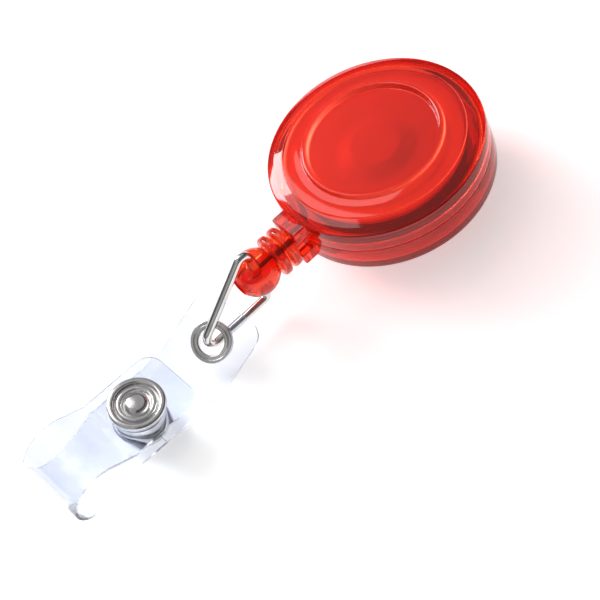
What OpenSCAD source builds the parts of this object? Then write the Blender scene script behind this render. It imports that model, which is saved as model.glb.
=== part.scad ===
// Retractable badge reel: round two-shell case, spring-wound spool, cord with a ribbed ball stop,
// wire loop, snap strap and belt clip.
// Origin: on the spool axis, in the plane of the belt clip's outer face. +Z up, the cord leaves along -X.

/* [Case] */
// Outside diameter of the case
case_d = 32; // [30:0.5:36]
// Height of the case's back face over the clip's outer face
case_base = 4.2; // [3.8:0.1:5]
// Height of the seam between the shells, which is the height of the cord
seam_z = 8.9; // [8.7:0.1:9.1]
// Height where the rim's outer corner starts
rim_z = 12.2; // [12:0.1:12.6]
// Thickness of the shells' walls
wall = 1.2; // [1:0.1:1.3]

/* [Cord] */
// Diameter of the cord
cord_d = 0.9; // [0.7:0.1:1]
// Outside radius of the winding when the cord is in
winding_r = 13.3; // [13:0.1:13.3]

/* [Stop and loop] */
// Diameter of the ball that holds the wire loop
ball_d = 7; // [6.5:0.1:7.2]
// Distance of the ball's centre from the spool axis
ball_x = 24.4; // [24.3:0.1:25]
// Diameter of the stop's two ribs
rib_d = 6.6; // [6:0.1:6.8]
// Diameter of the loop's wire
wire_d = 1.3; // [1.1:0.1:1.4]

/* [Strap] */
// Width of the vinyl strap
strap_w = 11; // [10:0.1:11.5]
// Thickness of the vinyl strap
strap_t = 0.5; // [0.4:0.05:0.6]
// Sideways lean of the resting strap
strap_roll = 11; // [8:0.5:12]
// Turn of the resting strap away from the cord's line
strap_yaw = 2.5; // [0:0.5:5]

/* [Belt clip] */
// Width of the belt clip
clip_w = 12; // [10:0.5:13]
// Thickness of the clip's spring steel
clip_t = 0.7; // [0.5:0.05:0.8]

/* [Hidden] */

RED = [0.92, 0.13, 0.08, 0.75];
NICKEL = [0.78, 0.78, 0.78];
BLACK = [0.06, 0.05, 0.06];
WHITE = [0.93, 0.92, 0.88];
VINYL = [0.88, 0.92, 1, 0.4];

case_r = case_d / 2;
inner_r = case_r - wall;
floor_z = case_base + wall;
edge_r = 1.3;                 // rounding round the back face
lip_gap = 0.05;               // clearance of the shells' lip
lip_h = 0.9;
lip_r = case_r - wall / 2;

band_r = 13.6;                // inner edge of the sloping band round the front
land_z = 13.25;               // height of the ring-shaped land inside the band
bead_r = 10;                  // middle radius of the raised bead
bead_top = 14.05;
disc_z = 13.2;                // height of the recessed disc
ceiling_z = 12.1;

arbor_r = 3;
arbor_top = 11.5;
fit = 0.05;                   // radial clearance of turning fits

hub_r = 10.9;                 // radius the cord is wound on
hub_wall = 0.9;
flange_r = 14.3;
top_flange_r = 12.9;          // the front flange, smaller than the winding that shows past it
spool_z = 5.8;                // underside of the spool
groove_z = 6.4;               // the cord's groove, from groove_z to groove_top
groove_top = 9.9;
spool_top = 10.6;

spring_turns = 8;
spring_t = 0.18;

mouth_x = 18;                 // how far the cord guide stands out from the axis
mouth_w = 5;
neck_w = 3.2;
guide_r = 0.8;                // radius of the hole that the cord runs through
bend_x = 15.2;                // where the cord turns into the guide

stop_x = mouth_x + 0.05;      // the stop's near end, seated on the guide
rib_pitch = 1.8;
stop_neck_r = 2.3;
knot_x = 21.1;
knot_bore_r = 1.4;
cross_r = wire_d / 2 + 0.1;

strap_at = [-35, -0.1, 3.55];  // middle of the eyelet's seat
seat_z = 0.75;                // the strap's own height at the eyelet, before its lean
seat_pitch = 27;
seat_roll = 14;
barrel_r = 2.2;
hole_r = 1.9;
snap_x = -14.6;               // the snap's place along the strap, from the eyelet
snap_z = -0.9;                // height of the strap's back under the snap
snap_pitch = 7;               // how much the snap leans towards the case
snap_gap = 3.2;               // from the strap's back to its flap at the snap
corner_r = 2.4;
half_t = strap_t / 2;

clip_gap_mid = case_base / 2;
clip_bend_x = 11.5;
clip_tip_x = -12.5;

// ---- shared functions -------------------------------------------------------------------------

function arc(c, r, from, to, n = 6) =
    [for (i = [0:n]) c + r * [cos(from + (to - from) * i / n), sin(from + (to - from) * i / n)]];

function unit(v) = v / norm(v);

// A point on the Catmull-Rom curve between b and c.
function spline(a, b, c, d, t) =
    0.5 * ((2 * b) + (c - a) * t + (2 * a - 5 * b + 4 * c - d) * t * t
           + (3 * b - a - 3 * c + d) * t * t * t);

function smooth(p, steps) =
    let (last = len(p) - 1)
    [for (i = [0:last - 1], k = [0:steps - 1])
        spline(p[max(i - 1, 0)], p[i], p[i + 1], p[min(i + 2, last)], k / steps),
     p[last]];

// A point between b and c on a curve that also passes a and d, and its direction there.
function bent(a, b, c, d, t) =
    let (p = [b[0], b[1]], q = [c[0], c[1]], s = t * t * (3 - 2 * t))
    let (u = unit(q - [a[0], a[1]]) * norm(q - p), v = unit([d[0], d[1]] - p) * norm(q - p))
    let (at = (1 - s) * p + s * q + t * (1 - t) * (1 - t) * u - t * t * (1 - t) * v)
    let (ahead = 6 * t * (1 - t) * (q - p) + (1 - 4 * t + 3 * t * t) * u + (3 * t * t - 2 * t) * v)
    [at[0], at[1], b[2] + (c[2] - b[2]) * s, ahead[0], ahead[1]];

// ---- strap ------------------------------------------------------------------------------------

// A point of the eyelet's flat seat, s along it towards the case: x, z, sideways twist.
function seat(s) = [s * cos(seat_pitch), seat_z + s * sin(seat_pitch), seat_roll];

// A point of the flat stretch under the snap, s towards the case and h up from the strap's back.
function layer(s, h) =
    [snap_x + s * cos(snap_pitch) + h * sin(snap_pitch), snap_z - s * sin(snap_pitch) + h * cos(snap_pitch), 0];

// Middle line of the strap from its eyelet end round the fold to its free end.
STRAP_ROUTE = [seat(5.6), seat(3.2), seat(-3.2), seat(-3.7), [-5.1, -1.38, 8], [-6.8, -1.5, 3],
    layer(5, 0), layer(4.2, 0), layer(-4.2, 0), layer(-5, 0), [-21.6, -0.9, 0],
    [-24.5, -1.55, 0], [-27, -1.8, 0], [-29.2, -1.1, 0], [-30.3, 0.4, 0], [-30.6, 2.1, 0],
    [-30.1, 4.1, 0], [-28.6, 5.7, 0], [-26.4, 6.4, 0], [-24, 5.9, 0], [-21.8, 4.5, 0], [-20.2, 3.5, 0],
    layer(-5.1, snap_gap), layer(-4.2, snap_gap), layer(4.2, snap_gap), layer(5, snap_gap),
    layer(7.2, snap_gap)];
FLATS = [1, 7, 23];           // stretches that stay exactly straight, where the holes are
FOLD_POINT = 15;              // number of the route's outermost point
ROUTE_STEPS = 4;

function route_point(i) = STRAP_ROUTE[max(0, min(i, len(STRAP_ROUTE) - 1))];

function stretch_steps(i) = len([for (f = FLATS) if (f == i) f]) > 0 ? 1 : ROUTE_STEPS;

// Each point of the strap's middle line: x, z and twist, then its direction.
ROUTE_END = len(STRAP_ROUTE) - 2;
STRAP_LINE = [
    for (i = [0:ROUTE_END], k = [0:stretch_steps(i) - (i < ROUTE_END ? 1 : 0)])
    bent(route_point(i - 1), route_point(i), route_point(i + 1), route_point(i + 2), k / stretch_steps(i))];
STRAP_LAST = len(STRAP_LINE) - 1;

function steps_before(i) = i < 1 ? 0 : stretch_steps(i - 1) + steps_before(i - 1);

STRAP_FOLD = steps_before(FOLD_POINT);

function line_xz(i) = [STRAP_LINE[i][0], STRAP_LINE[i][1]];

// Half the strap's width at a point, less in the rounded corners of both ends.
function half_w(i) =
    let (d = min(norm(line_xz(i) - line_xz(0)), norm(line_xz(i) - line_xz(STRAP_LAST))))
    let (c = min(corner_r, d))
    strap_w / 2 - corner_r + sqrt(corner_r * corner_r - (corner_r - c) * (corner_r - c));

// The four corners of the strap's cross-section at a point.
function strap_ring(i) =
    let (t = unit([STRAP_LINE[i][3], STRAP_LINE[i][4]]))
    let (twist = STRAP_LINE[i][2])
    let (up = [t[1], 0, -t[0]])
    let (side = [0, cos(twist), 0] + sin(twist) * up)
    let (out = cos(twist) * up - [0, sin(twist), 0])
    let (mid = [STRAP_LINE[i][0], 0, STRAP_LINE[i][1]])
    [for (c = [[-1, -1], [1, -1], [1, 1], [-1, 1]]) mid + c[0] * half_w(i) * side + c[1] * half_t * out];

// A closed solid through equal rings of points.
module skin(rings) {
    n = len(rings[0]);
    last = len(rings) - 1;
    polyhedron(
        points = [for (r = rings) each r],
        faces = concat(
            [[for (k = [0:n - 1]) k]],
            [[for (k = [n - 1:-1:0]) last * n + k]],
            [for (i = [0:last - 1], k = [0:n - 1])
                [i * n + k, (i + 1) * n + k, (i + 1) * n + (k + 1) % n]],
            [for (i = [0:last - 1], k = [0:n - 1])
                [i * n + k, (i + 1) * n + (k + 1) % n, i * n + (k + 1) % n]]));
}

module strap_piece(from, to) skin([for (i = [from:to]) strap_ring(i)]);

// Puts a shape drawn in the strap's own frame where the strap lies.
module place_strap() translate(strap_at) rotate([0, 0, strap_yaw]) rotate([strap_roll, 0, 0]) children();

// Puts a shape on the eyelet's seat, its axis along the seat's normal.
module place_eyelet() place_strap() translate([0, 0, seat_z]) rotate([0, -seat_pitch, 0])
    rotate([seat_roll, 0, 0]) children();

// Puts a shape on the snap's axis, h above the strap's back.
module place_snap(h) place_strap() translate([snap_x, 0, snap_z]) rotate([0, snap_pitch, 0])
    translate([0, 0, h]) children();

module strap_back() color(VINYL) difference() {
    place_strap() strap_piece(0, STRAP_FOLD);
    place_eyelet() cylinder(h = 3, r = barrel_r + fit, center = true, $fn = 64);
    place_snap(0) cylinder(h = 2, r = 1.35, center = true, $fn = 64);
}

module strap_flap() color(VINYL) difference() {
    place_strap() strap_piece(STRAP_FOLD, STRAP_LAST);
    place_snap(snap_gap) cylinder(h = 2, r = 1.35, center = true, $fn = 64);
}

// ---- eyelet and snap --------------------------------------------------------------------------

// Rolled flange and barrel of the eyelet, set from the upper side.
module eyelet() color(NICKEL) place_eyelet() rotate_extrude($fn = 64) polygon(concat(
    [[hole_r, -half_t - 0.45], [barrel_r, -half_t - 0.45], [barrel_r, half_t + 0.02], [3.1, half_t + 0.06]],
    arc([2.9, half_t + 0.22], 0.2, 0, 90, 4),
    arc([hole_r + 0.3, half_t + 0.1], 0.3, 90, 180, 5)));

module eyelet_washer() color(NICKEL) place_eyelet() rotate_extrude($fn = 64) polygon(concat(
    [[barrel_r + fit, -half_t - 0.06], [3, -half_t - 0.06]],
    arc([2.82, -half_t - 0.24], 0.18, 0, -90, 4),
    [[barrel_r + fit, -half_t - 0.42]]));

// Pressed cap with a rolled rim, a groove and a domed middle; its barrel goes through the flap.
module snap_cap() color(NICKEL) place_snap(snap_gap + half_t + 0.01) rotate_extrude($fn = 96) polygon(concat(
    [[0, -0.75], [1.3, -0.75], [1.3, 0], [3.6, 0]],
    arc([3.65, 0.55], 0.55, -90, 100, 10),
    [[3.05, 0.85], [2.85, 0.55]],
    arc([2.4, 0.75], 0.25, -20, 160, 5),
    [[1.9, 0.5], [1.5, 0.5]],
    arc([0, 0.42], 1.3, 22, 90, 5)));

// Socket under the flap, open downwards, with an inner groove for its spring.
module snap_socket() color(NICKEL) place_snap(snap_gap - half_t - 0.01) rotate_extrude($fn = 96) polygon(concat(
    [[1.35, 0], [1.35, -0.45], [2.7, -0.45], [2.7, -1], [2.1, -1], [2.1, -1.5], [3.3, -1.5]],
    arc([3.3, -0.9], 0.6, -90, 60, 8),
    [[3.2, 0]]));

module socket_spring() color(NICKEL) place_snap(snap_gap - half_t - 0.72) rotate([0, 0, 20])
    rotate_extrude(angle = 320, $fn = 48) translate([2.4, 0]) circle(r = 0.2, $fn = 16);

// Stud on the strap's back: a rolled flange and the hollow head that the socket holds.
module snap_stud() color(NICKEL) place_snap(half_t + 0.01) rotate_extrude($fn = 96) polygon(concat(
    [[1.35, 0], [3.3, 0]],
    arc([3.35, 0.42], 0.42, -90, 90, 8),
    [[1.6, 0.7], [1.6, 1]],
    arc([1.5, 1.3], 0.25, -45, 90, 5),
    [[1.2, 1.55], [1.2, 0.6], [1.35, 0.6]]));

module snap_post() color(NICKEL) place_snap(-half_t - 0.01) rotate_extrude($fn = 96) polygon(concat(
    [[0, 0.95], [1.15, 0.95], [1.3, 0.5], [1.3, 0], [3.6, 0]],
    arc([3.65, -0.45], 0.45, 90, -90, 8),
    [[2.6, -0.75], [0, -0.75]]));

// ---- case -------------------------------------------------------------------------------------

// Half of the cord guide: a wide block away from the seam and a narrow neck next to it.
module guide_half(side) {
    neck_h = 1.3;
    block_h = 2;
    root_x = case_r - 0.6;
    translate([-mouth_x, -neck_w / 2, side > 0 ? seam_z : seam_z - neck_h])
        cube([mouth_x - root_x, neck_w, neck_h]);
    translate([-mouth_x, -mouth_w / 2, side > 0 ? seam_z + neck_h : seam_z - neck_h - block_h])
        cube([mouth_x - root_x, mouth_w, block_h]);
}

// Hole that the cord runs through, belled at its inner end.
module guide_hole() translate([0, 0, seam_z]) rotate([0, 90, 0]) {
    translate([0, 0, -mouth_x - 1]) cylinder(h = mouth_x + 1.6 - inner_r, r = guide_r, $fn = 48);
    translate([0, 0, -inner_r - 0.5]) cylinder(h = 1, r1 = guide_r, r2 = guide_r + 1.2, $fn = 48);
}

module front_shell() color(RED) difference() {
    union() {
        rotate_extrude($fn = 128) polygon(concat(
            [[lip_r, seam_z], [case_r, seam_z], [case_r, rim_z - 0.2]],
            arc([case_r - 0.25, rim_z - 0.15], 0.25, 0, 65, 4),
            [[case_r - 1.1, rim_z + 0.52], [band_r, land_z - 0.12], [band_r - 0.12, land_z]],
            [[11.6, land_z + 0.08], [bead_r + 0.55, land_z + 0.2]],
            arc([bead_r, bead_top - 0.35], 0.35, 0, 180, 8),
            [[bead_r - 0.4, disc_z], [0, disc_z], [0, ceiling_z], [band_r - 0.6, ceiling_z]],
            [[inner_r, rim_z - 1.2], [inner_r, seam_z + lip_h + 0.1], [lip_r, seam_z + lip_h + 0.1]]));
        guide_half(1);
    }
    guide_hole();
}

// Back shell with the arbor that the spool turns on, slotted for the spring's inner end.
module back_shell() color(RED) difference() {
    union() {
        rotate_extrude($fn = 128) polygon(concat(
            [[0, case_base]],
            arc([case_r - edge_r, case_base + edge_r], edge_r, -90, 0, 6),
            [[case_r, seam_z], [lip_r - lip_gap, seam_z], [lip_r - lip_gap, seam_z + lip_h],
             [inner_r, seam_z + lip_h], [inner_r, floor_z + 0.4], [inner_r - 0.4, floor_z], [arbor_r + 1, floor_z],
             [arbor_r + 1, spool_z - 0.1], [arbor_r, spool_z - 0.1], [arbor_r, arbor_top], [2, arbor_top],
             [2, floor_z + 0.8], [0, floor_z + 0.8]]));
        guide_half(-1);
    }
    guide_hole();
    translate([0, 0, case_base - 1]) cylinder(h = 4, r = 1.25, $fn = 48);
    translate([0, -0.25, groove_z + 0.6]) cube([arbor_r + 1, 0.5, arbor_top]);
}

// ---- spool and cord ---------------------------------------------------------------------------

module spool() color(WHITE) rotate_extrude($fn = 128) polygon([
    [arbor_r + fit, spool_z], [flange_r, spool_z], [flange_r, groove_z], [hub_r, groove_z],
    [hub_r, groove_top], [top_flange_r, groove_top], [top_flange_r, spool_top], [hub_r - 0.6, spool_top],
    [hub_r - 0.6, spool_top - 0.5], [hub_r - hub_wall, spool_top - 0.5], [hub_r - hub_wall, groove_z],
    [arbor_r + 0.8, groove_z], [arbor_r + 0.8, groove_z + 0.5], [arbor_r + fit, groove_z + 0.5]]);

// Disc that closes the spring's chamber, with a cap in its middle that covers the arbor.
module spring_cover() color(WHITE) rotate_extrude($fn = 128) polygon([
    [arbor_r + 0.2, spool_top - 0.5], [hub_r - 0.65, spool_top - 0.5], [hub_r - 0.65, spool_top + 0.2],
    [arbor_r + 0.9, spool_top + 0.2], [arbor_r + 0.7, ceiling_z - 0.1], [0, ceiling_z - 0.1],
    [0, arbor_top + 0.1], [arbor_r + 0.2, arbor_top + 0.1]]);

// Flat clockwork spring: a strip wound outwards from the arbor.
module power_spring() {
    first_r = arbor_r + 0.9;
    pitch = (hub_r - hub_wall - 0.25 - first_r) / spring_turns;
    steps = spring_turns * 16;
    turn = 360 / 16;
    inner = [for (i = [0:steps]) (first_r + pitch * i / 16) * [cos(i * turn), sin(i * turn)]];
    outer = [for (i = [steps:-1:0]) (first_r + spring_t + pitch * i / 16) * [cos(i * turn), sin(i * turn)]];
    color(NICKEL) translate([0, 0, groove_z + 0.1])
        linear_extrude(height = spool_top - groove_z - 0.8) polygon(concat(inner, outer));
}

module wound_cord() color(BLACK) rotate_extrude($fn = 128) polygon([
    [hub_r + 0.02, groove_z + 0.02], [winding_r - 0.3, groove_z + 0.02], [winding_r, groove_z + 0.4],
    [winding_r, groove_top - 0.4], [winding_r - 0.3, groove_top - 0.02], [hub_r + 0.02, groove_top - 0.02]]);

// Round tube through points that lie in the seam's plane.
module cord_tube(p) {
    last = len(p) - 1;
    skin([for (i = [0:last])
        let (t = unit(p[min(i + 1, last)] - p[max(i - 1, 0)]))
        let (side = [-t[1], t[0], 0])
        [for (k = [0:7]) [p[i][0], p[i][1], seam_z]
            + cord_d / 2 * (cos(k * 45) * side + sin(k * 45) * [0, 0, 1])]]);
}

// From the winding, clear of its next turn, into the guide.
LEAD_POINTS = smooth([[-12.83, 5.08], [-13.48, 3.4], [-14.05, 1.85], [-14.52, 0.8], [-14.85, 0.25],
    [-bend_x, 0.02], [-bend_x - 0.3, 0], [-bend_x - 0.5, 0]], 3);

module cord_inner_lead() color(BLACK) cord_tube(LEAD_POINTS);

module cord_end() color(BLACK) translate([-knot_x + 0.9, 0, seam_z]) rotate([0, 90, 0])
    cylinder(h = knot_x - 0.9 - bend_x - 0.52, r = cord_d / 2, $fn = 32);

module cord_knot() color(BLACK) translate([-knot_x, 0, seam_z]) difference() {
    union() {
        sphere(r = 1.15, $fn = 32);
        translate([-1, 0, 0]) sphere(r = 0.9, $fn = 32);
    }
    translate([0.9, -2, -2]) cube(4);
}

// ---- stop and loop ----------------------------------------------------------------------------

// Ribbed stop and ball in one moulding, bored for the cord and its knot and across for the wire.
module cord_stop() color(RED) difference() {
    translate([-stop_x, 0, seam_z]) rotate([0, -90, 0]) rotate_extrude($fn = 96)
        polygon(concat(
            [[0, 0], [stop_neck_r, 0]],
            arc([rib_d / 2 - 0.8, 0.95], 0.8, -75, 75, 8),
            [[stop_neck_r, rib_pitch]],
            arc([rib_d / 2 - 0.8, 0.95 + rib_pitch], 0.8, -75, 75, 8),
            [[stop_neck_r, 2 * rib_pitch]],
            arc([0, ball_x - stop_x], ball_d / 2, -48, 90, 16)));
    translate([-knot_x - 0.2, 0, seam_z]) rotate([0, 90, 0]) cylinder(h = 8, r = cord_d / 2 + 0.15, $fn = 48);
    translate([-ball_x - 5, 0, seam_z]) rotate([0, 90, 0])
        cylinder(h = ball_x + 5 - knot_x + 1.15, r = knot_bore_r, $fn = 48);
    translate([-ball_x, 0, 0]) cylinder(h = 30, r = cross_r, $fn = 48);
}

// The loop's three corners, in X and Z, where its legs would meet.
LOOP_TOP = [-ball_x, 14.5];
LOOP_LOW = [-ball_x, 3.2];
LOOP_TIP = [-38.2, 3.2];

// The bend at corner q, from the leg towards p to the leg towards r, as points of the wire's middle.
function bend(p, q, r, radius) =
    let (a = unit(p - q), b = unit(r - q))
    let (half = acos(a * b) / 2)
    let (c = q + unit(a + b) * radius / sin(half))
    let (start = q + a * radius / tan(half) - c, end = q + b * radius / tan(half) - c)
    let (from = atan2(start[1], start[0]))
    let (turn = (atan2(end[1], end[0]) - from + 540) % 360 - 180)
    [for (i = [0:10]) c + radius * [cos(from + turn * i / 10), sin(from + turn * i / 10)]];

// From one butted end of the wire, in the middle of the ball, round to the other.
LOOP_LINE = concat([[-ball_x, seam_z + 0.1]], bend(LOOP_LOW, LOOP_TOP, LOOP_TIP, 1),
    bend(LOOP_TOP, LOOP_TIP, LOOP_LOW, 1.5), bend(LOOP_TIP, LOOP_LOW, LOOP_TOP, 1.1),
    [[-ball_x, seam_z - 0.1]]);

module wire_loop() color(NICKEL) {
    last = len(LOOP_LINE) - 1;
    skin([for (i = [0:last])
        let (t = unit(LOOP_LINE[min(i + 1, last)] - LOOP_LINE[max(i - 1, 0)]))
        [for (k = [0:23]) [LOOP_LINE[i][0], 0, LOOP_LINE[i][1]]
            + wire_d / 2 * (cos(k * 15) * [0, 1, 0] + sin(k * 15) * [-t[1], 0, t[0]])]]);
}

// ---- belt clip --------------------------------------------------------------------------------

// Half of the clip's bend, from its end at the flat to the middle of the bend.
module clip_bend(up) intersection() {
    translate([clip_bend_x, clip_w / 2, clip_gap_mid]) rotate([90, 0, 0]) difference() {
        cylinder(h = clip_w, r = clip_gap_mid, $fn = 64);
        translate([0, 0, -1]) cylinder(h = clip_w + 2, r = clip_gap_mid - clip_t, $fn = 64);
    }
    translate([clip_bend_x, -clip_w, up ? clip_gap_mid : -1]) cube([10, 2 * clip_w, clip_gap_mid + 1]);
}

// Flat leaf of the clip with a rounded end, from the bend to tip_x.
module clip_leaf(tip_x, z) {
    tip_r = clip_w / 2;
    translate([tip_x + tip_r, -tip_r, z]) cube([clip_bend_x - tip_x - tip_r, clip_w, clip_t]);
    translate([tip_x + tip_r, 0, z]) cylinder(h = clip_t, r = tip_r, $fn = 96);
}

module belt_clip_plate() color(NICKEL) difference() {
    union() {
        clip_leaf(-8.5, case_base - clip_t);
        clip_bend(true);
    }
    cylinder(h = 10, r = 1.25, $fn = 48);
}

// Sprung outer leaf, with a pressed bar across it that grips the belt.
module belt_clip_tongue() color(NICKEL) union() {
    clip_leaf(clip_tip_x, 0);
    clip_bend(false);
    translate([-7.5, 4, clip_t]) rotate([90, 0, 0]) intersection() {
        translate([0, -0.6, 0]) cylinder(h = 8, r = 1.4, $fn = 48);
        translate([-3, 0, 0]) cube([6, 3, 8]);
    }
}

// Tubular rivet: head under the plate, shank through plate and shell, rolled end in the arbor.
module clip_rivet() color(NICKEL) translate([0, 0, case_base - clip_t]) rotate_extrude($fn = 64) polygon([
    [0, -0.7], [1.6, -0.7], [2.3, -0.35], [2.4, 0], [1.2, 0], [1.2, 3.1], [1.75, 3.1], [1.75, 3.4],
    [1.2, 3.7], [0.8, 3.3], [0.8, 0.6], [0, 0.6]]);

module rivet_washer() color(NICKEL) translate([0, 0, floor_z + 0.8]) difference() {
    cylinder(h = 0.38, r = 1.9, $fn = 64);
    translate([0, 0, -1]) cylinder(h = 3, r = 1.25, $fn = 64);
}

front_shell();
back_shell();
spool();
spring_cover();
power_spring();
wound_cord();
cord_inner_lead();
cord_end();
cord_knot();
cord_stop();
wire_loop();
eyelet();
eyelet_washer();
strap_back();
strap_flap();
snap_cap();
snap_socket();
socket_spring();
snap_stud();
snap_post();
belt_clip_plate();
belt_clip_tongue();
clip_rivet();
rivet_washer();
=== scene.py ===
"""Looks of a retractable badge reel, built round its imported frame.

Every piece is modelled in metres in the frame's own axes: +Z runs up the spool's axis, the cord
leaves along -X, and the belt clip's outer face lies in the plane of the origin.
"""

import logging
import math
from bisect import bisect_right
from contextlib import contextmanager
from dataclasses import dataclass, field, replace
from enum import Enum
from typing import Callable, Iterator, Sequence

import bpy
from mathutils import Matrix, Vector

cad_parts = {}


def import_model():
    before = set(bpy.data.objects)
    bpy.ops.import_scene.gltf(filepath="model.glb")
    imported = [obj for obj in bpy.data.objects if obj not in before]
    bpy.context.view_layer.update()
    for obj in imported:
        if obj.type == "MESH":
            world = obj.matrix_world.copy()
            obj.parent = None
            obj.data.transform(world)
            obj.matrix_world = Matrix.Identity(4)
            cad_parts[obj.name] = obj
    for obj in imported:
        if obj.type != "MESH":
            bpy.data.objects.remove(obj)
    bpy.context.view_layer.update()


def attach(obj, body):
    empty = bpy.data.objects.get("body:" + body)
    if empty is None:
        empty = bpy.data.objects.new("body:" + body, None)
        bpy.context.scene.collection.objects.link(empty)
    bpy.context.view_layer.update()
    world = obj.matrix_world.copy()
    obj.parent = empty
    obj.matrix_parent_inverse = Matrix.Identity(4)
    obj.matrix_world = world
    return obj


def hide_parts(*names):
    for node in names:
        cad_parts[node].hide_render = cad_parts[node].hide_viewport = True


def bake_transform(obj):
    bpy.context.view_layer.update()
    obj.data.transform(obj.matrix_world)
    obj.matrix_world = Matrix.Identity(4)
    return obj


MM = 0.001
DEG = math.pi / 180
TOUCHING = 1e-6  # points nearer than this, in metres, are one
ROD_SIDES = 48  # facets round a cutting rod
SHARP = 60 * DEG  # edges sharper than this are rounded
LOG = logging.getLogger("badge_reel")

Obj = bpy.types.Object
Mat = bpy.types.Material
Tree = bpy.types.NodeTree
Colour = tuple[float, float, float]
Corner = tuple[float, float, float]


class Body(Enum):
    """The frame's moving bodies."""

    CASE = "case"
    SPOOL = "spool"
    CORD_END = "cord_end"
    STOP = "stop"
    LOOP = "loop"
    EYELET = "eyelet"
    STRAP = "strap"
    FLAP = "flap"
    CLIP_TONGUE = "clip_tongue"


class Slot(Enum):
    """The record's material slots."""

    SHELL = "shell_plastic"
    STOP = "stop_plastic"
    SPOOL = "spool_plastic"
    SPRING = "spring_steel"
    CORD = "cord_nylon"
    WIRE = "wire_nickel"
    EYELET = "eyelet_nickel"
    STRAP = "strap_vinyl"
    SNAP = "snap_nickel"
    CLIP = "clip_steel"
    RIVET = "rivet_steel"


# ---- hand tools -----------------------------------------------------------------------------------


def deselect() -> None:
    """Leave nothing selected, so that the next operator acts on its own piece only."""
    for other in list(bpy.context.selected_objects):
        other.select_set(False)


def activate(piece: Obj) -> None:
    """Make one piece the only selected and the active one."""
    deselect()
    bpy.context.view_layer.objects.active = piece
    piece.select_set(True)


@contextmanager
def editing(piece: Obj) -> Iterator[None]:
    """Work on a piece in edit mode.

    Args:
        piece: The mesh to work on.
    """
    activate(piece)
    bpy.ops.object.mode_set(mode="EDIT")
    try:
        yield
    finally:
        bpy.ops.object.mode_set(mode="OBJECT")


def added(name: str) -> Obj:
    """Name the primitive that an operator has just added.

    Args:
        name: The piece's name.

    Returns:
        The new piece.
    """
    piece = bpy.context.object
    piece.name = piece.data.name = name
    return piece


def settle(piece: Obj) -> Obj:
    """Put a piece's place in its mesh, its object back at the origin."""
    activate(piece)
    bpy.ops.object.transform_apply(location=True, rotation=True, scale=True)
    return piece


def place(piece: Obj, matrix: Matrix) -> Obj:
    """Turn and move a piece modelled about the origin, and settle it there."""
    piece.matrix_world = matrix @ piece.matrix_world
    return settle(piece)


def weld(piece: Obj) -> None:
    """Merge points that lie together and turn the faces outwards."""
    with editing(piece):
        bpy.ops.mesh.select_all(action="SELECT")
        bpy.ops.mesh.remove_doubles(threshold=TOUCHING)
        bpy.ops.mesh.normals_make_consistent(inside=False)


def soften(piece: Obj, angle: float = 32.0) -> Obj:
    """Shade a piece smooth over all edges less sharp than an angle in degrees."""
    activate(piece)
    bpy.ops.object.shade_smooth_by_angle(angle=angle * DEG)
    return piece


def apply_modifier(piece: Obj, kind: str, **settings: object) -> None:
    """Add a modifier to a piece and apply it.

    Args:
        piece: The mesh to change.
        kind: The modifier's type.
        **settings: Its settings by name.
    """
    activate(piece)
    modifier = piece.modifiers.new(kind.lower(), kind)
    for key, value in settings.items():
        setattr(modifier, key, value)
    bpy.ops.object.modifier_apply(modifier=modifier.name)


def combine(piece: Obj, tool: Obj, operation: str) -> Obj:
    """Cut a tool out of a piece, or join it on, and remove the tool.

    Args:
        piece: The piece that stays.
        tool: The closed solid that acts on it.
        operation: DIFFERENCE or UNION.

    Returns:
        The piece.
    """
    apply_modifier(piece, "BOOLEAN", operation=operation, object=tool, solver="EXACT")
    bpy.data.objects.remove(tool, do_unlink=True)
    weld(piece)
    return piece


def cut(piece: Obj, *tools: Obj) -> Obj:
    """Cut each tool out of a piece."""
    for tool in tools:
        combine(piece, tool, "DIFFERENCE")
    return piece


def join(piece: Obj, *tools: Obj) -> Obj:
    """Join each tool onto a piece."""
    for tool in tools:
        combine(piece, tool, "UNION")
    return piece


def fillet(corners: Sequence[Corner], cyclic: bool = False, segments: int = 6) -> list[Vector]:
    """Round the corners of an outline.

    Args:
        corners: Each corner as radius from the axis, height, and the radius it is rounded to, in mm.
        cyclic: True if the last corner joins the first.
        segments: Straight pieces in each rounded corner.

    Returns:
        The outline's points, in mm.
    """
    outline: list[Vector] = []
    count = len(corners)
    for i, (x, y, radius) in enumerate(corners):
        here = Vector((x, y))
        if radius <= 0 or (not cyclic and i in (0, count - 1)):
            outline.append(here)
            continue
        before = Vector(corners[i - 1][:2]) - here
        after = Vector(corners[(i + 1) % count][:2]) - here
        half = before.angle(after) / 2
        if half > 89 * DEG:
            outline.append(here)
            continue
        run = min(radius / math.tan(half), before.length * 0.49, after.length * 0.49)
        radius = run * math.tan(half)
        before.normalize()
        after.normalize()
        centre = here + (before + after).normalized() * (radius / math.sin(half))
        start, end = here + before * run - centre, here + after * run - centre
        first = math.atan2(start.y, start.x)
        turn = (math.atan2(end.y, end.x) - first + math.pi) % math.tau - math.pi
        for k in range(segments + 1):
            angle = first + turn * k / segments
            outline.append(centre + radius * Vector((math.cos(angle), math.sin(angle))))
    return outline


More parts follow.
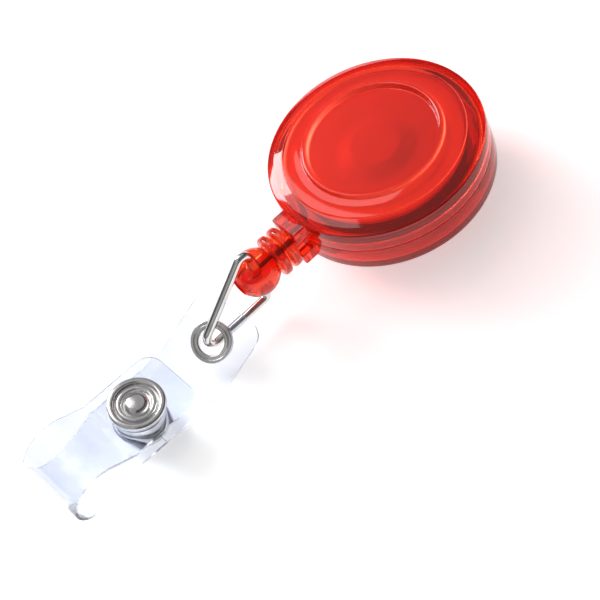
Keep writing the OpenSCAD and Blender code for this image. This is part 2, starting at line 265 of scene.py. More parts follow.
def lathe(
    name: str,
    corners: Sequence[Corner],
    cyclic: bool = False,
    steps: int = 128,
    segments: int = 6,
) -> Obj:
    """Turn an outline about the Z axis.

    Args:
        name: The piece's name.
        corners: The outline's corners, as for fillet.
        cyclic: True for a ring; otherwise the outline starts and ends on the axis.
        steps: Facets in a full turn.
        segments: Facets in each rounded corner.

    Returns:
        The turned piece.
    """
    outline = [Vector((p.x, 0, p.y)) * MM for p in fillet(corners, cyclic, segments)]
    if cyclic:
        outline.append(outline[0].copy())
    deselect()
    bpy.ops.mesh.primitive_plane_add(size=MM)
    piece = added(name)
    with editing(piece):
        bpy.ops.mesh.select_mode(type="VERT")
        bpy.ops.mesh.select_all(action="SELECT")
        bpy.ops.mesh.merge(type="CENTER")
        bpy.ops.transform.translate(value=outline[0])
        for here, there in zip(outline, outline[1:]):
            bpy.ops.mesh.extrude_vertices_move(TRANSFORM_OT_translate={"value": there - here})
        bpy.ops.mesh.select_all(action="SELECT")
        bpy.ops.mesh.spin(steps=steps, angle=360 * DEG, center=(0, 0, 0), axis=(0, 0, 1))
    weld(piece)
    return soften(piece)


def block(name: str, low: Sequence[float], high: Sequence[float], edge: float = 0.0) -> Obj:
    """A box with rounded edges.

    Args:
        name: The piece's name.
        low: Its lowest corner, in mm.
        high: Its highest corner, in mm.
        edge: The radius of its edges, in mm.

    Returns:
        The box.
    """
    size = [(b - a) * MM for a, b in zip(low, high)]
    middle = [(a + b) / 2 * MM for a, b in zip(low, high)]
    deselect()
    bpy.ops.mesh.primitive_cube_add(size=1, location=middle, scale=size)
    piece = settle(added(name))
    if edge > 0:
        with editing(piece):
            bpy.ops.mesh.select_all(action="SELECT")
            bpy.ops.mesh.bevel(offset=edge * MM, segments=4, affect="EDGES")
    weld(piece)
    return piece


def rod(name: str, radius: float, length: float, matrix: Matrix) -> Obj:
    """A plain rod for cutting holes.

    Args:
        name: The tool's name.
        radius: Its radius, in mm.
        length: Its length along Z before it is placed, in mm, half each way.
        matrix: Where it goes.

    Returns:
        The rod.
    """
    deselect()
    bpy.ops.mesh.primitive_cylinder_add(vertices=ROD_SIDES, radius=radius * MM, depth=length * MM)
    return place(added(name), matrix)


def shift(x: float, y: float, z: float) -> Matrix:
    """A move by millimetres."""
    return Matrix.Translation(Vector((x, y, z)) * MM)


def turn(degrees: float, axis: str) -> Matrix:
    """A turn about one of the frame's axes, right-handed."""
    return Matrix.Rotation(degrees * DEG, 4, axis)


def tube(name: str, path: Sequence[Vector], radius: float, sides: int) -> Obj:
    """A round cord along a path, its ends slightly domed, with its length and girth in its UV map.

    Args:
        name: The piece's name.
        path: Its middle line, in metres.
        radius: Its radius, in metres.
        sides: Facets round it.

    Returns:
        The cord.
    """
    points = [Vector(p) for p in path]
    first = (points[0] - points[1]).normalized()
    last = (points[-1] - points[-2]).normalized()
    dome, tip = 0.35, radius * 0.6
    radii = [tip, *[radius] * len(points), tip]
    points = [points[0] + first * radius * dome, *points, points[-1] + last * radius * dome]
    count = len(points)
    side = Vector((0, 0, 1))
    run = 0.0
    vertices: list[Vector] = []
    runs: list[float] = []
    for i, point in enumerate(points):
        ahead = (points[min(i + 1, count - 1)] - points[max(i - 1, 0)]).normalized()
        side = (side - ahead * side.dot(ahead)).normalized()
        other = ahead.cross(side)
        if i:
            run += (point - points[i - 1]).length
        runs.append(run / (radius * 2))
        for k in range(sides):
            angle = math.tau * k / sides
            vertices.append(point + radii[i] * (math.cos(angle) * side + math.sin(angle) * other))
    faces, corners_uv = [], []
    for i in range(count - 1):
        for k in range(sides):
            n = (k + 1) % sides
            faces.append((i * sides + k, i * sides + n, (i + 1) * sides + n, (i + 1) * sides + k))
            u, v = k / sides, (k + 1) / sides
            corners_uv.append([(runs[i], u), (runs[i], v), (runs[i + 1], v), (runs[i + 1], u)])
    faces.append(tuple(range(sides - 1, -1, -1)))
    corners_uv.append([(runs[0], k / sides) for k in range(sides - 1, -1, -1)])
    faces.append(tuple((count - 1) * sides + k for k in range(sides)))
    corners_uv.append([(runs[-1], k / sides) for k in range(sides)])
    mesh = bpy.data.meshes.new(name)
    mesh.from_pydata([tuple(v) for v in vertices], [], faces)
    layer = mesh.uv_layers.new(name="cord_uv")
    flat = [uv for face in corners_uv for uv in face]
    for loop, uv in zip(layer.data, flat):
        loop.uv = uv
    piece = bpy.data.objects.new(name, mesh)
    bpy.context.scene.collection.objects.link(piece)
    return soften(piece, 60)


def smooth_path(points: Sequence[Sequence[float]], steps: int) -> list[Vector]:
    """A smooth curve through points that never turns back on itself.

    Args:
        points: The points, of two numbers, or three where the last is an angle that eases between them.
        steps: Pieces between each two of them.

    Returns:
        The curve's points.
    """
    p = [Vector(q[:2]) for q in points]
    last = len(p) - 1
    curve: list[Vector] = []
    for i in range(last):
        b, c = p[i], p[i + 1]
        span = (c - b).length
        leave = (c - p[max(i - 1, 0)]).normalized() * span
        arrive = (p[min(i + 2, last)] - b).normalized() * span
        for k in range(steps + (i == last - 1)):
            t = k / steps
            ease = t * t * (3 - 2 * t)
            flat = b.lerp(c, ease) + t * (1 - t) ** 2 * leave - t * t * (1 - t) * arrive
            extra = [m + (n - m) * ease for m, n in zip(points[i][2:], points[i + 1][2:])]
            curve.append(Vector((*flat, *extra)))
    return curve


# ---- shader effects -------------------------------------------------------------------------------


def new_group(name: str, inputs: dict[str, float], outputs: Sequence[str]) -> Tree:
    """An empty shader node group.

    Args:
        name: Its name.
        inputs: Each number it takes, with its usual value.
        outputs: Each mask or height it gives.

    Returns:
        The group's tree, with its input and output nodes in it.
    """
    tree = bpy.data.node_groups.new(name, "ShaderNodeTree")
    tree.interface.new_socket("Place", in_out="INPUT", socket_type="NodeSocketVector")
    for key, value in inputs.items():
        socket = tree.interface.new_socket(key, in_out="INPUT", socket_type="NodeSocketFloat")
        socket.default_value = value
    for key in outputs:
        tree.interface.new_socket(key, in_out="OUTPUT", socket_type="NodeSocketFloat")
    tree.nodes.new("NodeGroupInput").name = "in"
    tree.nodes.new("NodeGroupOutput").name = "out"
    return tree


def wire(tree: Tree, source: bpy.types.NodeSocket, target: bpy.types.NodeSocket) -> None:
    """Link two sockets."""
    tree.links.new(source, target)


def feed(tree: Tree, value: object, socket: bpy.types.NodeSocket) -> None:
    """Set a socket to a number, or link it to another socket."""
    if isinstance(value, (int, float)):
        socket.default_value = value
    else:
        wire(tree, value, socket)


def maths(tree: Tree, operation: str, *values: object) -> bpy.types.NodeSocket:
    """A Math node.

    Args:
        tree: The tree it goes in.
        operation: What it does.
        *values: Sockets or numbers for its inputs.

    Returns:
        Its output.
    """
    node = tree.nodes.new("ShaderNodeMath")
    node.operation = operation
    for socket, value in zip(node.inputs, values):
        feed(tree, value, socket)
    return node.outputs[0]


def noise(
    tree: Tree, place_socket: bpy.types.NodeSocket, scale: object, detail: float = 3.0
) -> bpy.types.NodeSocket:
    """A Noise texture's value.

    Args:
        tree: The tree it goes in.
        place_socket: The coordinates it reads.
        scale: Its scale, a number or a socket.
        detail: Its octaves.

    Returns:
        The value from 0 to 1.
    """
    node = tree.nodes.new("ShaderNodeTexNoise")
    node.inputs["Detail"].default_value = detail
    wire(tree, place_socket, node.inputs["Vector"])
    feed(tree, scale, node.inputs["Scale"])
    return node.outputs["Fac"]


def spread(
    tree: Tree, value: bpy.types.NodeSocket, low: float, high: float, to_low: float, to_high: float
) -> bpy.types.NodeSocket:
    """Map a value from one range to another, held at both ends."""
    node = tree.nodes.new("ShaderNodeMapRange")
    for key, number in zip(("From Min", "From Max", "To Min", "To Max"), (low, high, to_low, to_high)):
        node.inputs[key].default_value = number
    wire(tree, value, node.inputs["Value"])
    return node.outputs["Result"]


class Effects:
    """The node groups that several finishes share."""

    @staticmethod
    def group(name: str, build: Callable[[], Tree]) -> Tree:
        """The group of a name, built the first time it is asked for."""
        return bpy.data.node_groups.get(name) or build()

    @classmethod
    def wear(cls) -> Tree:
        """Handling marks: soft smudges, and fine scratches that run both ways."""

        def build() -> Tree:
            tree = new_group("wear", {"Smudge Scale": 300.0, "Scratch Scale": 2500.0}, ["Smudge", "Scratch"])
            entry, leave = tree.nodes["in"], tree.nodes["out"]
            smudge = noise(tree, entry.outputs["Place"], entry.outputs["Smudge Scale"], 4)
            wire(tree, spread(tree, smudge, 0.38, 0.68, 0, 1), leave.inputs["Smudge"])
            scratches = None
            for stretch in ((1.0, 0.06, 0.3), (0.05, 1.0, 0.25)):
                mapping = tree.nodes.new("ShaderNodeMapping")
                mapping.inputs["Scale"].default_value = stretch
                mapping.inputs["Rotation"].default_value = (0.3, 0.2, stretch[0])
                wire(tree, entry.outputs["Place"], mapping.inputs["Vector"])
                line = noise(tree, mapping.outputs["Vector"], entry.outputs["Scratch Scale"], 2)
                line = spread(tree, line, 0.62, 0.7, 0, 1)
                scratches = line if scratches is None else maths(tree, "MAXIMUM", scratches, line)
            wire(tree, scratches, leave.inputs["Scratch"])
            return tree

        return cls.group("wear", build)

    @classmethod
    def flow(cls) -> Tree:
        """Moulding: slow waves of the surface and fine streaks of colour."""

        def build() -> Tree:
            tree = new_group("mould_flow", {"Wave Scale": 90.0, "Streak Scale": 220.0}, ["Height", "Streak"])
            entry, leave = tree.nodes["in"], tree.nodes["out"]
            wave = noise(tree, entry.outputs["Place"], entry.outputs["Wave Scale"], 1)
            wire(tree, wave, leave.inputs["Height"])
            mapping = tree.nodes.new("ShaderNodeMapping")
            mapping.inputs["Scale"].default_value = (1.0, 1.0, 0.25)
            wire(tree, entry.outputs["Place"], mapping.inputs["Vector"])
            streak = noise(tree, mapping.outputs["Vector"], entry.outputs["Streak Scale"], 5)
            wire(tree, spread(tree, streak, 0.3, 0.7, 0, 1), leave.inputs["Streak"])
            return tree

        return cls.group("mould_flow", build)


@dataclass(frozen=True)
class Finish:
    """A procedural finish on one shader.

    Attributes:
        name: The material's name.
    """

    name: str

    def start(self) -> tuple[Mat, Tree, bpy.types.Node, bpy.types.Node]:
        """Begin a material.

        Returns:
            The material, its tree, its shader and its output.
        """
        material = bpy.data.materials.new(self.name)
        material.use_nodes = True
        tree = material.node_tree
        tree.nodes.clear()
        shader = tree.nodes.new("ShaderNodeBsdfPrincipled")
        output = tree.nodes.new("ShaderNodeOutputMaterial")
        wire(tree, shader.outputs["BSDF"], output.inputs["Surface"])
        return material, tree, shader, output

    @staticmethod
    def where(tree: Tree) -> bpy.types.NodeSocket:
        """The piece's own coordinates."""
        return tree.nodes.new("ShaderNodeTexCoord").outputs["Object"]

    @staticmethod
    def effect(
        tree: Tree, group: Tree, place_socket: bpy.types.NodeSocket, **values: float
    ) -> bpy.types.Node:
        """Put a shared effect in a material.

        Args:
            tree: The material's tree.
            group: The effect.
            place_socket: The coordinates it reads.
            **values: Its inputs, with underscores for spaces.

        Returns:
            The group's node.
        """
        node = tree.nodes.new("ShaderNodeGroup")
        node.node_tree = group
        wire(tree, place_socket, node.inputs["Place"])
        for key, value in values.items():
            node.inputs[key.replace("_", " ").title()].default_value = value
        return node

    @staticmethod
    def colours(tree: Tree, mask: bpy.types.NodeSocket, low: Colour, high: Colour) -> bpy.types.NodeSocket:
        """A colour that goes from one to another with a mask."""
        ramp = tree.nodes.new("ShaderNodeValToRGB")
        ramp.color_ramp.elements[0].color = (*low, 1)
        ramp.color_ramp.elements[1].color = (*high, 1)
        wire(tree, mask, ramp.inputs["Fac"])
        return ramp.outputs["Color"]

    @staticmethod
    def bump(
        tree: Tree, shader: bpy.types.Node, height: bpy.types.NodeSocket, strength: float, depth: float
    ) -> None:
        """Give a shader a bump of a depth in millimetres."""
        node = tree.nodes.new("ShaderNodeBump")
        node.inputs["Strength"].default_value = strength
        node.inputs["Distance"].default_value = depth * MM
        wire(tree, height, node.inputs["Height"])
        wire(tree, node.outputs["Normal"], shader.inputs["Normal"])

    @staticmethod
    def let_lamps_through(tree: Tree, shader: bpy.types.Node, output: bpy.types.Node, tint: Colour) -> None:
        """Let the lamps' light through a clear piece, tinted.

        Args:
            tree: The material's tree.
            shader: The clear shader.
            output: The material's output.
            tint: What one surface does to the light.
        """
        clear = tree.nodes.new("ShaderNodeBsdfTransparent")
        clear.inputs["Color"].default_value = (*tint, 1)
        path = tree.nodes.new("ShaderNodeLightPath")
        mix = tree.nodes.new("ShaderNodeMixShader")
        wire(tree, path.outputs["Is Shadow Ray"], mix.inputs["Fac"])
        wire(tree, shader.outputs["BSDF"], mix.inputs[1])
        wire(tree, clear.outputs["BSDF"], mix.inputs[2])
        wire(tree, mix.outputs["Shader"], output.inputs["Surface"])


@dataclass(frozen=True)
class TintedPlastic(Finish):
    """See-through coloured plastic, glossy.

    Attributes:
        thin: Its colour where it is thin.
        deep: Its colour along its streaks.
        lamp: What one surface does to the lamps' light.
        roughness: Its usual roughness.
        frost: Radius and height, in mm, inside which it has the mould's matt texture.
        recess_shade: Radius, in mm, of the middle disc inside the bead, painted a darker red as painted
            shade, and that colour.
    """

    thin: Colour
    deep: Colour
    lamp: Colour
    roughness: float = 0.03
    frost: tuple[float, float] | None = None
    recess_shade: tuple[float, Colour] | None = None

    def build(self) -> Mat:
        """Make the material."""
        material, tree, shader, output = self.start()
        where = self.where(tree)
        flow = self.effect(tree, Effects.flow(), where, wave_scale=110, streak_scale=260)
        wear = self.effect(tree, Effects.wear(), where, smudge_scale=240, scratch_scale=1800)
        shader.inputs["Transmission Weight"].default_value = 0.84
        shader.inputs["IOR"].default_value = 1.49
        colour = self.colours(tree, flow.outputs["Streak"], self.thin, self.deep)
        rough = spread(tree, wear.outputs["Smudge"], 0, 1, self.roughness, self.roughness + 0.035)
        split = tree.nodes.new("ShaderNodeSeparateXYZ")
        wire(tree, where, split.inputs["Vector"])
        squares = [maths(tree, "MULTIPLY", split.outputs[axis], split.outputs[axis]) for axis in "XY"]
        radius = maths(tree, "SQRT", maths(tree, "ADD", *squares))
        if self.frost:
            inside = spread(tree, radius, self.frost[0] * MM, (self.frost[0] + 0.3) * MM, 1, 0)
            below = spread(tree, split.outputs["Z"], self.frost[1] * MM, (self.frost[1] + 0.2) * MM, 1, 0)
            matt = maths(tree, "MULTIPLY", maths(tree, "MULTIPLY", inside, below), 0.42)
            rough = maths(tree, "MAXIMUM", rough, matt)
        # Painted shade: inside this radius the colour turns darker, on both shells.
        if self.recess_shade:
            mix = tree.nodes.new("ShaderNodeMix")
            mix.data_type = "RGBA"
            middle = spread(tree, radius, self.recess_shade[0] * MM, (self.recess_shade[0] + 0.15) * MM, 1, 0)
            wire(tree, middle, mix.inputs["Factor"])
            wire(tree, colour, mix.inputs[6])
            mix.inputs[7].default_value = (*self.recess_shade[1], 1)
            colour = mix.outputs[2]
        wire(tree, colour, shader.inputs["Base Color"])
        wire(tree, rough, shader.inputs["Roughness"])
        self.bump(tree, shader, flow.outputs["Height"], 0.25, 0.12)
        self.let_lamps_through(tree, shader, output, self.lamp)
        return material


@dataclass(frozen=True)
class ClearVinyl(Finish):
    """Soft clear vinyl with a faint cold tint.

    Attributes:
        thin: Its colour.
        deep: Its colour where it is cloudy.
        lamp: What one surface does to the lamps' light.
    """

    thin: Colour
    deep: Colour
    lamp: Colour

    def build(self) -> Mat:
        """Make the material."""
        material, tree, shader, output = self.start()
        where = self.where(tree)
        flow = self.effect(tree, Effects.flow(), where, wave_scale=160, streak_scale=420)
        wear = self.effect(tree, Effects.wear(), where, smudge_scale=260, scratch_scale=1400)
        shader.inputs["Transmission Weight"].default_value = 1.0
        shader.inputs["IOR"].default_value = 1.4
        colour = self.colours(tree, flow.outputs["Streak"], self.thin, self.deep)
        wire(tree, colour, shader.inputs["Base Color"])
        haze = maths(tree, "ADD", wear.outputs["Smudge"], wear.outputs["Scratch"])
        wire(tree, spread(tree, haze, 0, 1.4, 0.05, 0.16), shader.inputs["Roughness"])
        self.bump(tree, shader, flow.outputs["Height"], 0.35, 0.12)
        self.let_lamps_through(tree, shader, output, self.lamp)
        return material


@dataclass(frozen=True)
class PlatedSteel(Finish):
    """Bright plated steel with smudges and hairline scratches.

    Attributes:
        bright: Its clean colour.
        dull: Its colour under a smudge.
        low: Its lowest roughness.
        high: Its highest roughness.
        scratch_depth: The depth of its scratches, in mm.
    """

    bright: Colour
    dull: Colour
    low: float
    high: float
    scratch_depth: float = 0.004

    def build(self) -> Mat:
        """Make the material."""
        material, tree, shader, _ = self.start()
        where = self.where(tree)
        wear = self.effect(tree, Effects.wear(), where, smudge_scale=420, scratch_scale=2200)
        shader.inputs["Metallic"].default_value = 1.0
        colour = self.colours(tree, wear.outputs["Smudge"], self.bright, self.dull)
        wire(tree, colour, shader.inputs["Base Color"])
        marks = maths(tree, "MAXIMUM", wear.outputs["Smudge"], wear.outputs["Scratch"])
        wire(tree, spread(tree, marks, 0, 1, self.low, self.high), shader.inputs["Roughness"])
        self.bump(tree, shader, wear.outputs["Scratch"], 0.3, self.scratch_depth)
        return material


@dataclass(frozen=True)
class MouldedPlastic(Finish):
    """Opaque moulded plastic with a faint flow and a satin surface.

    Attributes:
        light: Its usual colour.
        shade: Its colour along the flow.
        roughness: Its usual roughness.
    """

    light: Colour
    shade: Colour
    roughness: float = 0.35

    def build(self) -> Mat:
        """Make the material."""
        material, tree, shader, _ = self.start()
        where = self.where(tree)
        flow = self.effect(tree, Effects.flow(), where, wave_scale=140, streak_scale=300)
        wear = self.effect(tree, Effects.wear(), where, smudge_scale=300, scratch_scale=1600)
        colour = self.colours(tree, flow.outputs["Streak"], self.light, self.shade)
        wire(tree, colour, shader.inputs["Base Color"])
        rough = spread(tree, wear.outputs["Smudge"], 0, 1, self.roughness, self.roughness + 0.12)
        wire(tree, rough, shader.inputs["Roughness"])
        self.bump(tree, shader, flow.outputs["Height"], 0.3, 0.05)
        return material


@dataclass(frozen=True)
class BraidedNylon(Finish):
    """Braided cord: strands that cross both ways round it, from its own UV map.

    Attributes:
        crown: The strands' colour on top.
        hollow: Their colour where they dive under, painted darker as painted shade.
        strands: Strands each way round.
    """

    crown: Colour
    hollow: Colour
    strands: int = 6

    def build(self) -> Mat:
        """Make the material."""
        material, tree, shader, _ = self.start()
        uv = tree.nodes.new("ShaderNodeUVMap")
        uv.uv_map = "cord_uv"
        split = tree.nodes.new("ShaderNodeSeparateXYZ")
        wire(tree, uv.outputs["UV"], split.inputs["Vector"])
        along = maths(tree, "MULTIPLY", split.outputs["X"], 2.2)
        around = maths(tree, "MULTIPLY", split.outputs["Y"], float(self.strands))
        left = maths(tree, "SINE", maths(tree, "MULTIPLY", maths(tree, "ADD", along, around), math.tau))
        right = maths(tree, "SINE", maths(tree, "MULTIPLY", maths(tree, "SUBTRACT", along, around), math.tau))
        weave = maths(tree, "MULTIPLY", left, right)
        fibres = noise(tree, self.where(tree), 9000, 2)
        height = maths(tree, "ADD", spread(tree, weave, -1, 1, 0, 1), maths(tree, "MULTIPLY", fibres, 0.35))
        # Painted shade: the hollows between the strands are coloured darker than their crowns.
        colour = self.colours(tree, spread(tree, height, 0.1, 1.1, 0, 1), self.hollow, self.crown)
        wire(tree, colour, shader.inputs["Base Color"])
        wire(tree, spread(tree, height, 0, 1.2, 0.75, 0.5), shader.inputs["Roughness"])
        shader.inputs["Sheen Weight"].default_value = 0.25
        self.bump(tree, shader, height, 0.8, 0.06)
        return material


@dataclass(frozen=True)
class PaleFloor(Finish):
    """A matt white sweep with the least grain.

    Attributes:
        light: Its colour.
        shade: Its colour in the grain.
        glow: How strongly it is lit from below.
    """

    light: Colour
    shade: Colour
    glow: float = 0.5

    def build(self) -> Mat:
        """Make the material."""
        material, tree, shader, _ = self.start()
        grain = noise(tree, self.where(tree), 1500, 3)
        wire(tree, self.colours(tree, grain, self.shade, self.light), shader.inputs["Base Color"])
        shader.inputs["Roughness"].default_value = 0.9
        shader.inputs["Specular IOR Level"].default_value = 0.1
        shader.inputs["Emission Color"].default_value = (1.0, 1.0, 1.0, 1.0)
        shader.inputs["Emission Strength"].default_value = self.glow
        return material


@dataclass
class Finishes:
    """Every finish of the reel, made once."""

    shell: Mat = field(init=False)
    stop: Mat = field(init=False)
    spool: Mat = field(init=False)
    spring: Mat = field(init=False)
    cord: Mat = field(init=False)
    wire: Mat = field(init=False)
    plated: Mat = field(init=False)
    clip: Mat = field(init=False)
    vinyl: Mat = field(init=False)

    def __post_init__(self) -> None:
        """Build each material."""
        red_light = (0.96, 0.74, 0.73)
        shell = TintedPlastic("shell_red", (0.93, 0.042, 0.011), (0.88, 0.03, 0.009), red_light)
        # The shells' middle disc is painted a darker red: painted shade.
        self.shell = replace(shell, frost=(13.3, 12.35), recess_shade=(9.6, (0.78, 0.035, 0.015))).build()
        stop = TintedPlastic("stop_red", (0.95, 0.075, 0.018), (0.9, 0.05, 0.014), red_light, 0.025)
        self.stop = stop.build()
        self.spool = MouldedPlastic("spool_white", (0.86, 0.85, 0.82), (0.8, 0.79, 0.76)).build()
        spring = PlatedSteel("spring_steel_strip", (0.5, 0.51, 0.54), (0.36, 0.36, 0.38), 0.2, 0.4)
        self.spring = spring.build()
        self.cord = BraidedNylon("cord_black", (0.035, 0.033, 0.036), (0.006, 0.006, 0.007)).build()
        bright = PlatedSteel("wire_nickel_bright", (0.83, 0.82, 0.8), (0.7, 0.69, 0.68), 0.06, 0.16, 0.002)
        self.wire = bright.build()
        self.plated = PlatedSteel("snap_nickel_worn", (0.82, 0.81, 0.8), (0.62, 0.61, 0.6), 0.1, 0.26).build()
        self.clip = PlatedSteel("clip_nickel", (0.76, 0.75, 0.74), (0.6, 0.6, 0.6), 0.12, 0.3).build()
        vinyl = ClearVinyl("strap_clear", (0.87, 0.895, 0.965), (0.81, 0.845, 0.93), (0.94, 0.955, 0.98))
        self.vinyl = vinyl.build()


def dress(piece: Obj, finish: Mat, slot: Slot, body: Body | None, *nodes: str) -> Obj:
    """Give a piece its finish, its body, and the frame's nodes it stands for.

    Args:
        piece: The finished mesh.
        finish: Its material.
        slot: The record's slot it is painted from; not used.
        body: The body it moves with; None leaves it attached to no body.
        *nodes: The nodes it stands for.

    Returns:
        The piece.
    """
    piece.data.materials.clear()
    piece.data.materials.append(finish)
    if body is not None:
        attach(piece, body.value)
    if nodes:
        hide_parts(*nodes)
    rides_on = body.value if body else "two bodies"
    LOG.info("%s: %d faces, rides on %s", piece.name, len(piece.data.polygons), rides_on)
    return piece


def repaint(node: str, finish: Mat) -> None:
    """Give a node of the frame, which stays, a better material."""
    piece = bpy.data.objects[node]
    piece.data.materials.clear()
    piece.data.materials.append(finish)
    LOG.info("%s: kept, repainted", node)


# ---- case -----------------------------------------------------------------------------------------


@dataclass
class CordGuide:
    """The mouth of the case: a wide block away from the seam and a narrow neck next to it.

    Attributes:
        reach: How far it stands out from the spool's axis, in mm.
        root: Where it starts, inside the case's wall, in mm.
        neck_width: Width next to the seam, in mm.
        block_width: Width away from the seam, in mm.
        neck_height: Height of the neck, in mm.
        block_height: Height of the block, in mm.
        edge: Radius of the edges, in mm.
        hole: Radius of the cord's hole, in mm.
    """

    reach: float = 18.0
    root: float = 15.46
    neck_width: float = 3.2
    block_width: float = 5.0
    neck_height: float = 1.3
    block_height: float = 2.0
    edge: float = 0.22
    hole: float = 0.8

    def half(self, seam: float, side: int) -> list[Obj]:
        """The neck and block on one side of the seam.

        Args:
            seam: Height of the seam, in mm.
            side: 1 above the seam, -1 below it.

        Returns:
            Two solids to join onto a shell.
        """
        solids = []
        step = seam + side * self.neck_height
        end = step + side * self.block_height
        near = seam + side * 0.02
        overlap = step + side * 0.4
        for name, a, b, width in (
            ("neck", near, overlap, self.neck_width),
            ("block", step, end, self.block_width),
        ):
            low = (-self.reach, -width / 2, min(a, b))
            high = (-self.root, width / 2, max(a, b))
            solids.append(block(name, low, high, self.edge))
        return solids

    def bore(self, seam: float) -> Obj:
        """The tool that cuts the cord's hole, belled at its inner end and eased at its mouth."""
        corners = [
            (0, -self.reach - 1, 0),
            (self.hole + 0.7, -self.reach - 1, 0),
            (self.hole, -self.reach + 0.35, 0.4),
            (self.hole, -15.2, 1.0),
            (self.hole + 1.2, -14.2, 0),
            (0, -14.2, 0),
        ]
        tool = lathe("bore", corners, steps=48)
        return place(tool, shift(0, 0, seam) @ turn(90, "Y"))


@dataclass
class Case:
    """The two see-through shells.

    Attributes:
        radius: Outside radius, in mm.
        back: Height of the back face, in mm.
        seam: Height of the seam, in mm.
        rim: Height of the rim's corner, in mm.
        wall: Wall thickness, in mm.
        band: Inner radius of the sloping band, in mm.
        bead: Middle radius of the raised bead, in mm.
        crown: Height of the bead's top, in mm.
        disc: Height of the recessed disc, in mm.
        ceiling: Height of the front's underside, in mm.
        arbor: Radius of the post that the spool turns on, in mm.
        arbor_top: Height of its top, in mm.
        guide: The mouth that the cord leaves by.
    """

    radius: float = 16.0
    back: float = 4.2
    seam: float = 8.9
    rim: float = 12.25
    wall: float = 1.2
    band: float = 13.55
    bead: float = 10.0
    crown: float = 14.04
    disc: float = 13.2
    ceiling: float = 12.1
    arbor: float = 3.0
    arbor_top: float = 11.5
    guide: CordGuide = field(default_factory=CordGuide)

    def front(self) -> Obj:
        """The front shell, lathed from its inner pole round the seam to its outer pole."""
        inner = self.radius - self.wall
        lip = self.radius - self.wall / 2
        corners = [
            (0, self.ceiling, 0),
            (inner - 1.6, self.ceiling, 1.2),
            (inner, self.rim - 1.4, 1.2),
            (inner, self.seam + 1.05, 0.05),
            (lip, self.seam + 1.05, 0.05),
            (lip, self.seam + 0.02, 0.04),
            (self.radius, self.seam + 0.02, 0.12),
            (self.radius, self.rim, 0.4),
            (self.radius - 1.15, self.rim + 0.5, 0.6),
            (self.band, self.rim + 0.86, 0.12),
            (self.band - 0.12, self.disc + 0.08, 0.12),
            (11.6, self.disc + 0.13, 0.4),
            (self.bead + 0.5, self.disc + 0.24, 0.2),
            (self.bead + 0.4, self.crown, 0.36),
            (self.bead - 0.4, self.crown, 0.36),
            (self.bead - 0.5, self.disc, 0.2),
            (0, self.disc, 0),
        ]
        shell = lathe("front_shell_moulding", corners, steps=192)
        join(shell, *self.guide.half(self.seam, 1))
        return soften(cut(shell, self.guide.bore(self.seam)))

    def rear(self) -> Obj:
        """The back shell, with its lip and the hollow post that the spool turns on."""
        inner = self.radius - self.wall
        lip = self.radius - self.wall / 2 - 0.07
        floor = self.back + self.wall
        corners = [
            (1.25, self.back, 0.1),
            (self.radius, self.back, 1.3),
            (self.radius, self.seam - 0.02, 0.12),
            (lip, self.seam - 0.02, 0.04),
            (lip, self.seam + 0.88, 0.15),
            (inner, self.seam + 0.88, 0.05),
            (inner, floor, 0.7),
            (self.arbor + 1, floor, 0.1),
            (self.arbor + 1, floor + 0.28, 0.05),
            (self.arbor, floor + 0.28, 0.05),
            (self.arbor, self.arbor_top, 0.2),
            (2.0, self.arbor_top, 0.2),
            (2.0, floor + 0.8, 0.1),
            (1.25, floor + 0.8, 0.05),
        ]
        shell = lathe("back_shell_moulding", corners, cyclic=True, steps=192)
        join(shell, *self.guide.half(self.seam, -1))
        slot = block("slot", (-0.25, -0.25, 7.0), (self.arbor + 1, 0.25, 13.0))
        return soften(cut(shell, self.guide.bore(self.seam), slot))

    def build(self, finishes: Finishes) -> None:
        """Make and dress both shells."""
        dress(self.front(), finishes.shell, Slot.SHELL, Body.CASE, "front_shell")
        dress(self.rear(), finishes.shell, Slot.SHELL, Body.CASE, "back_shell")


# ---- spool, spring and cord -----------------------------------------------------------------------


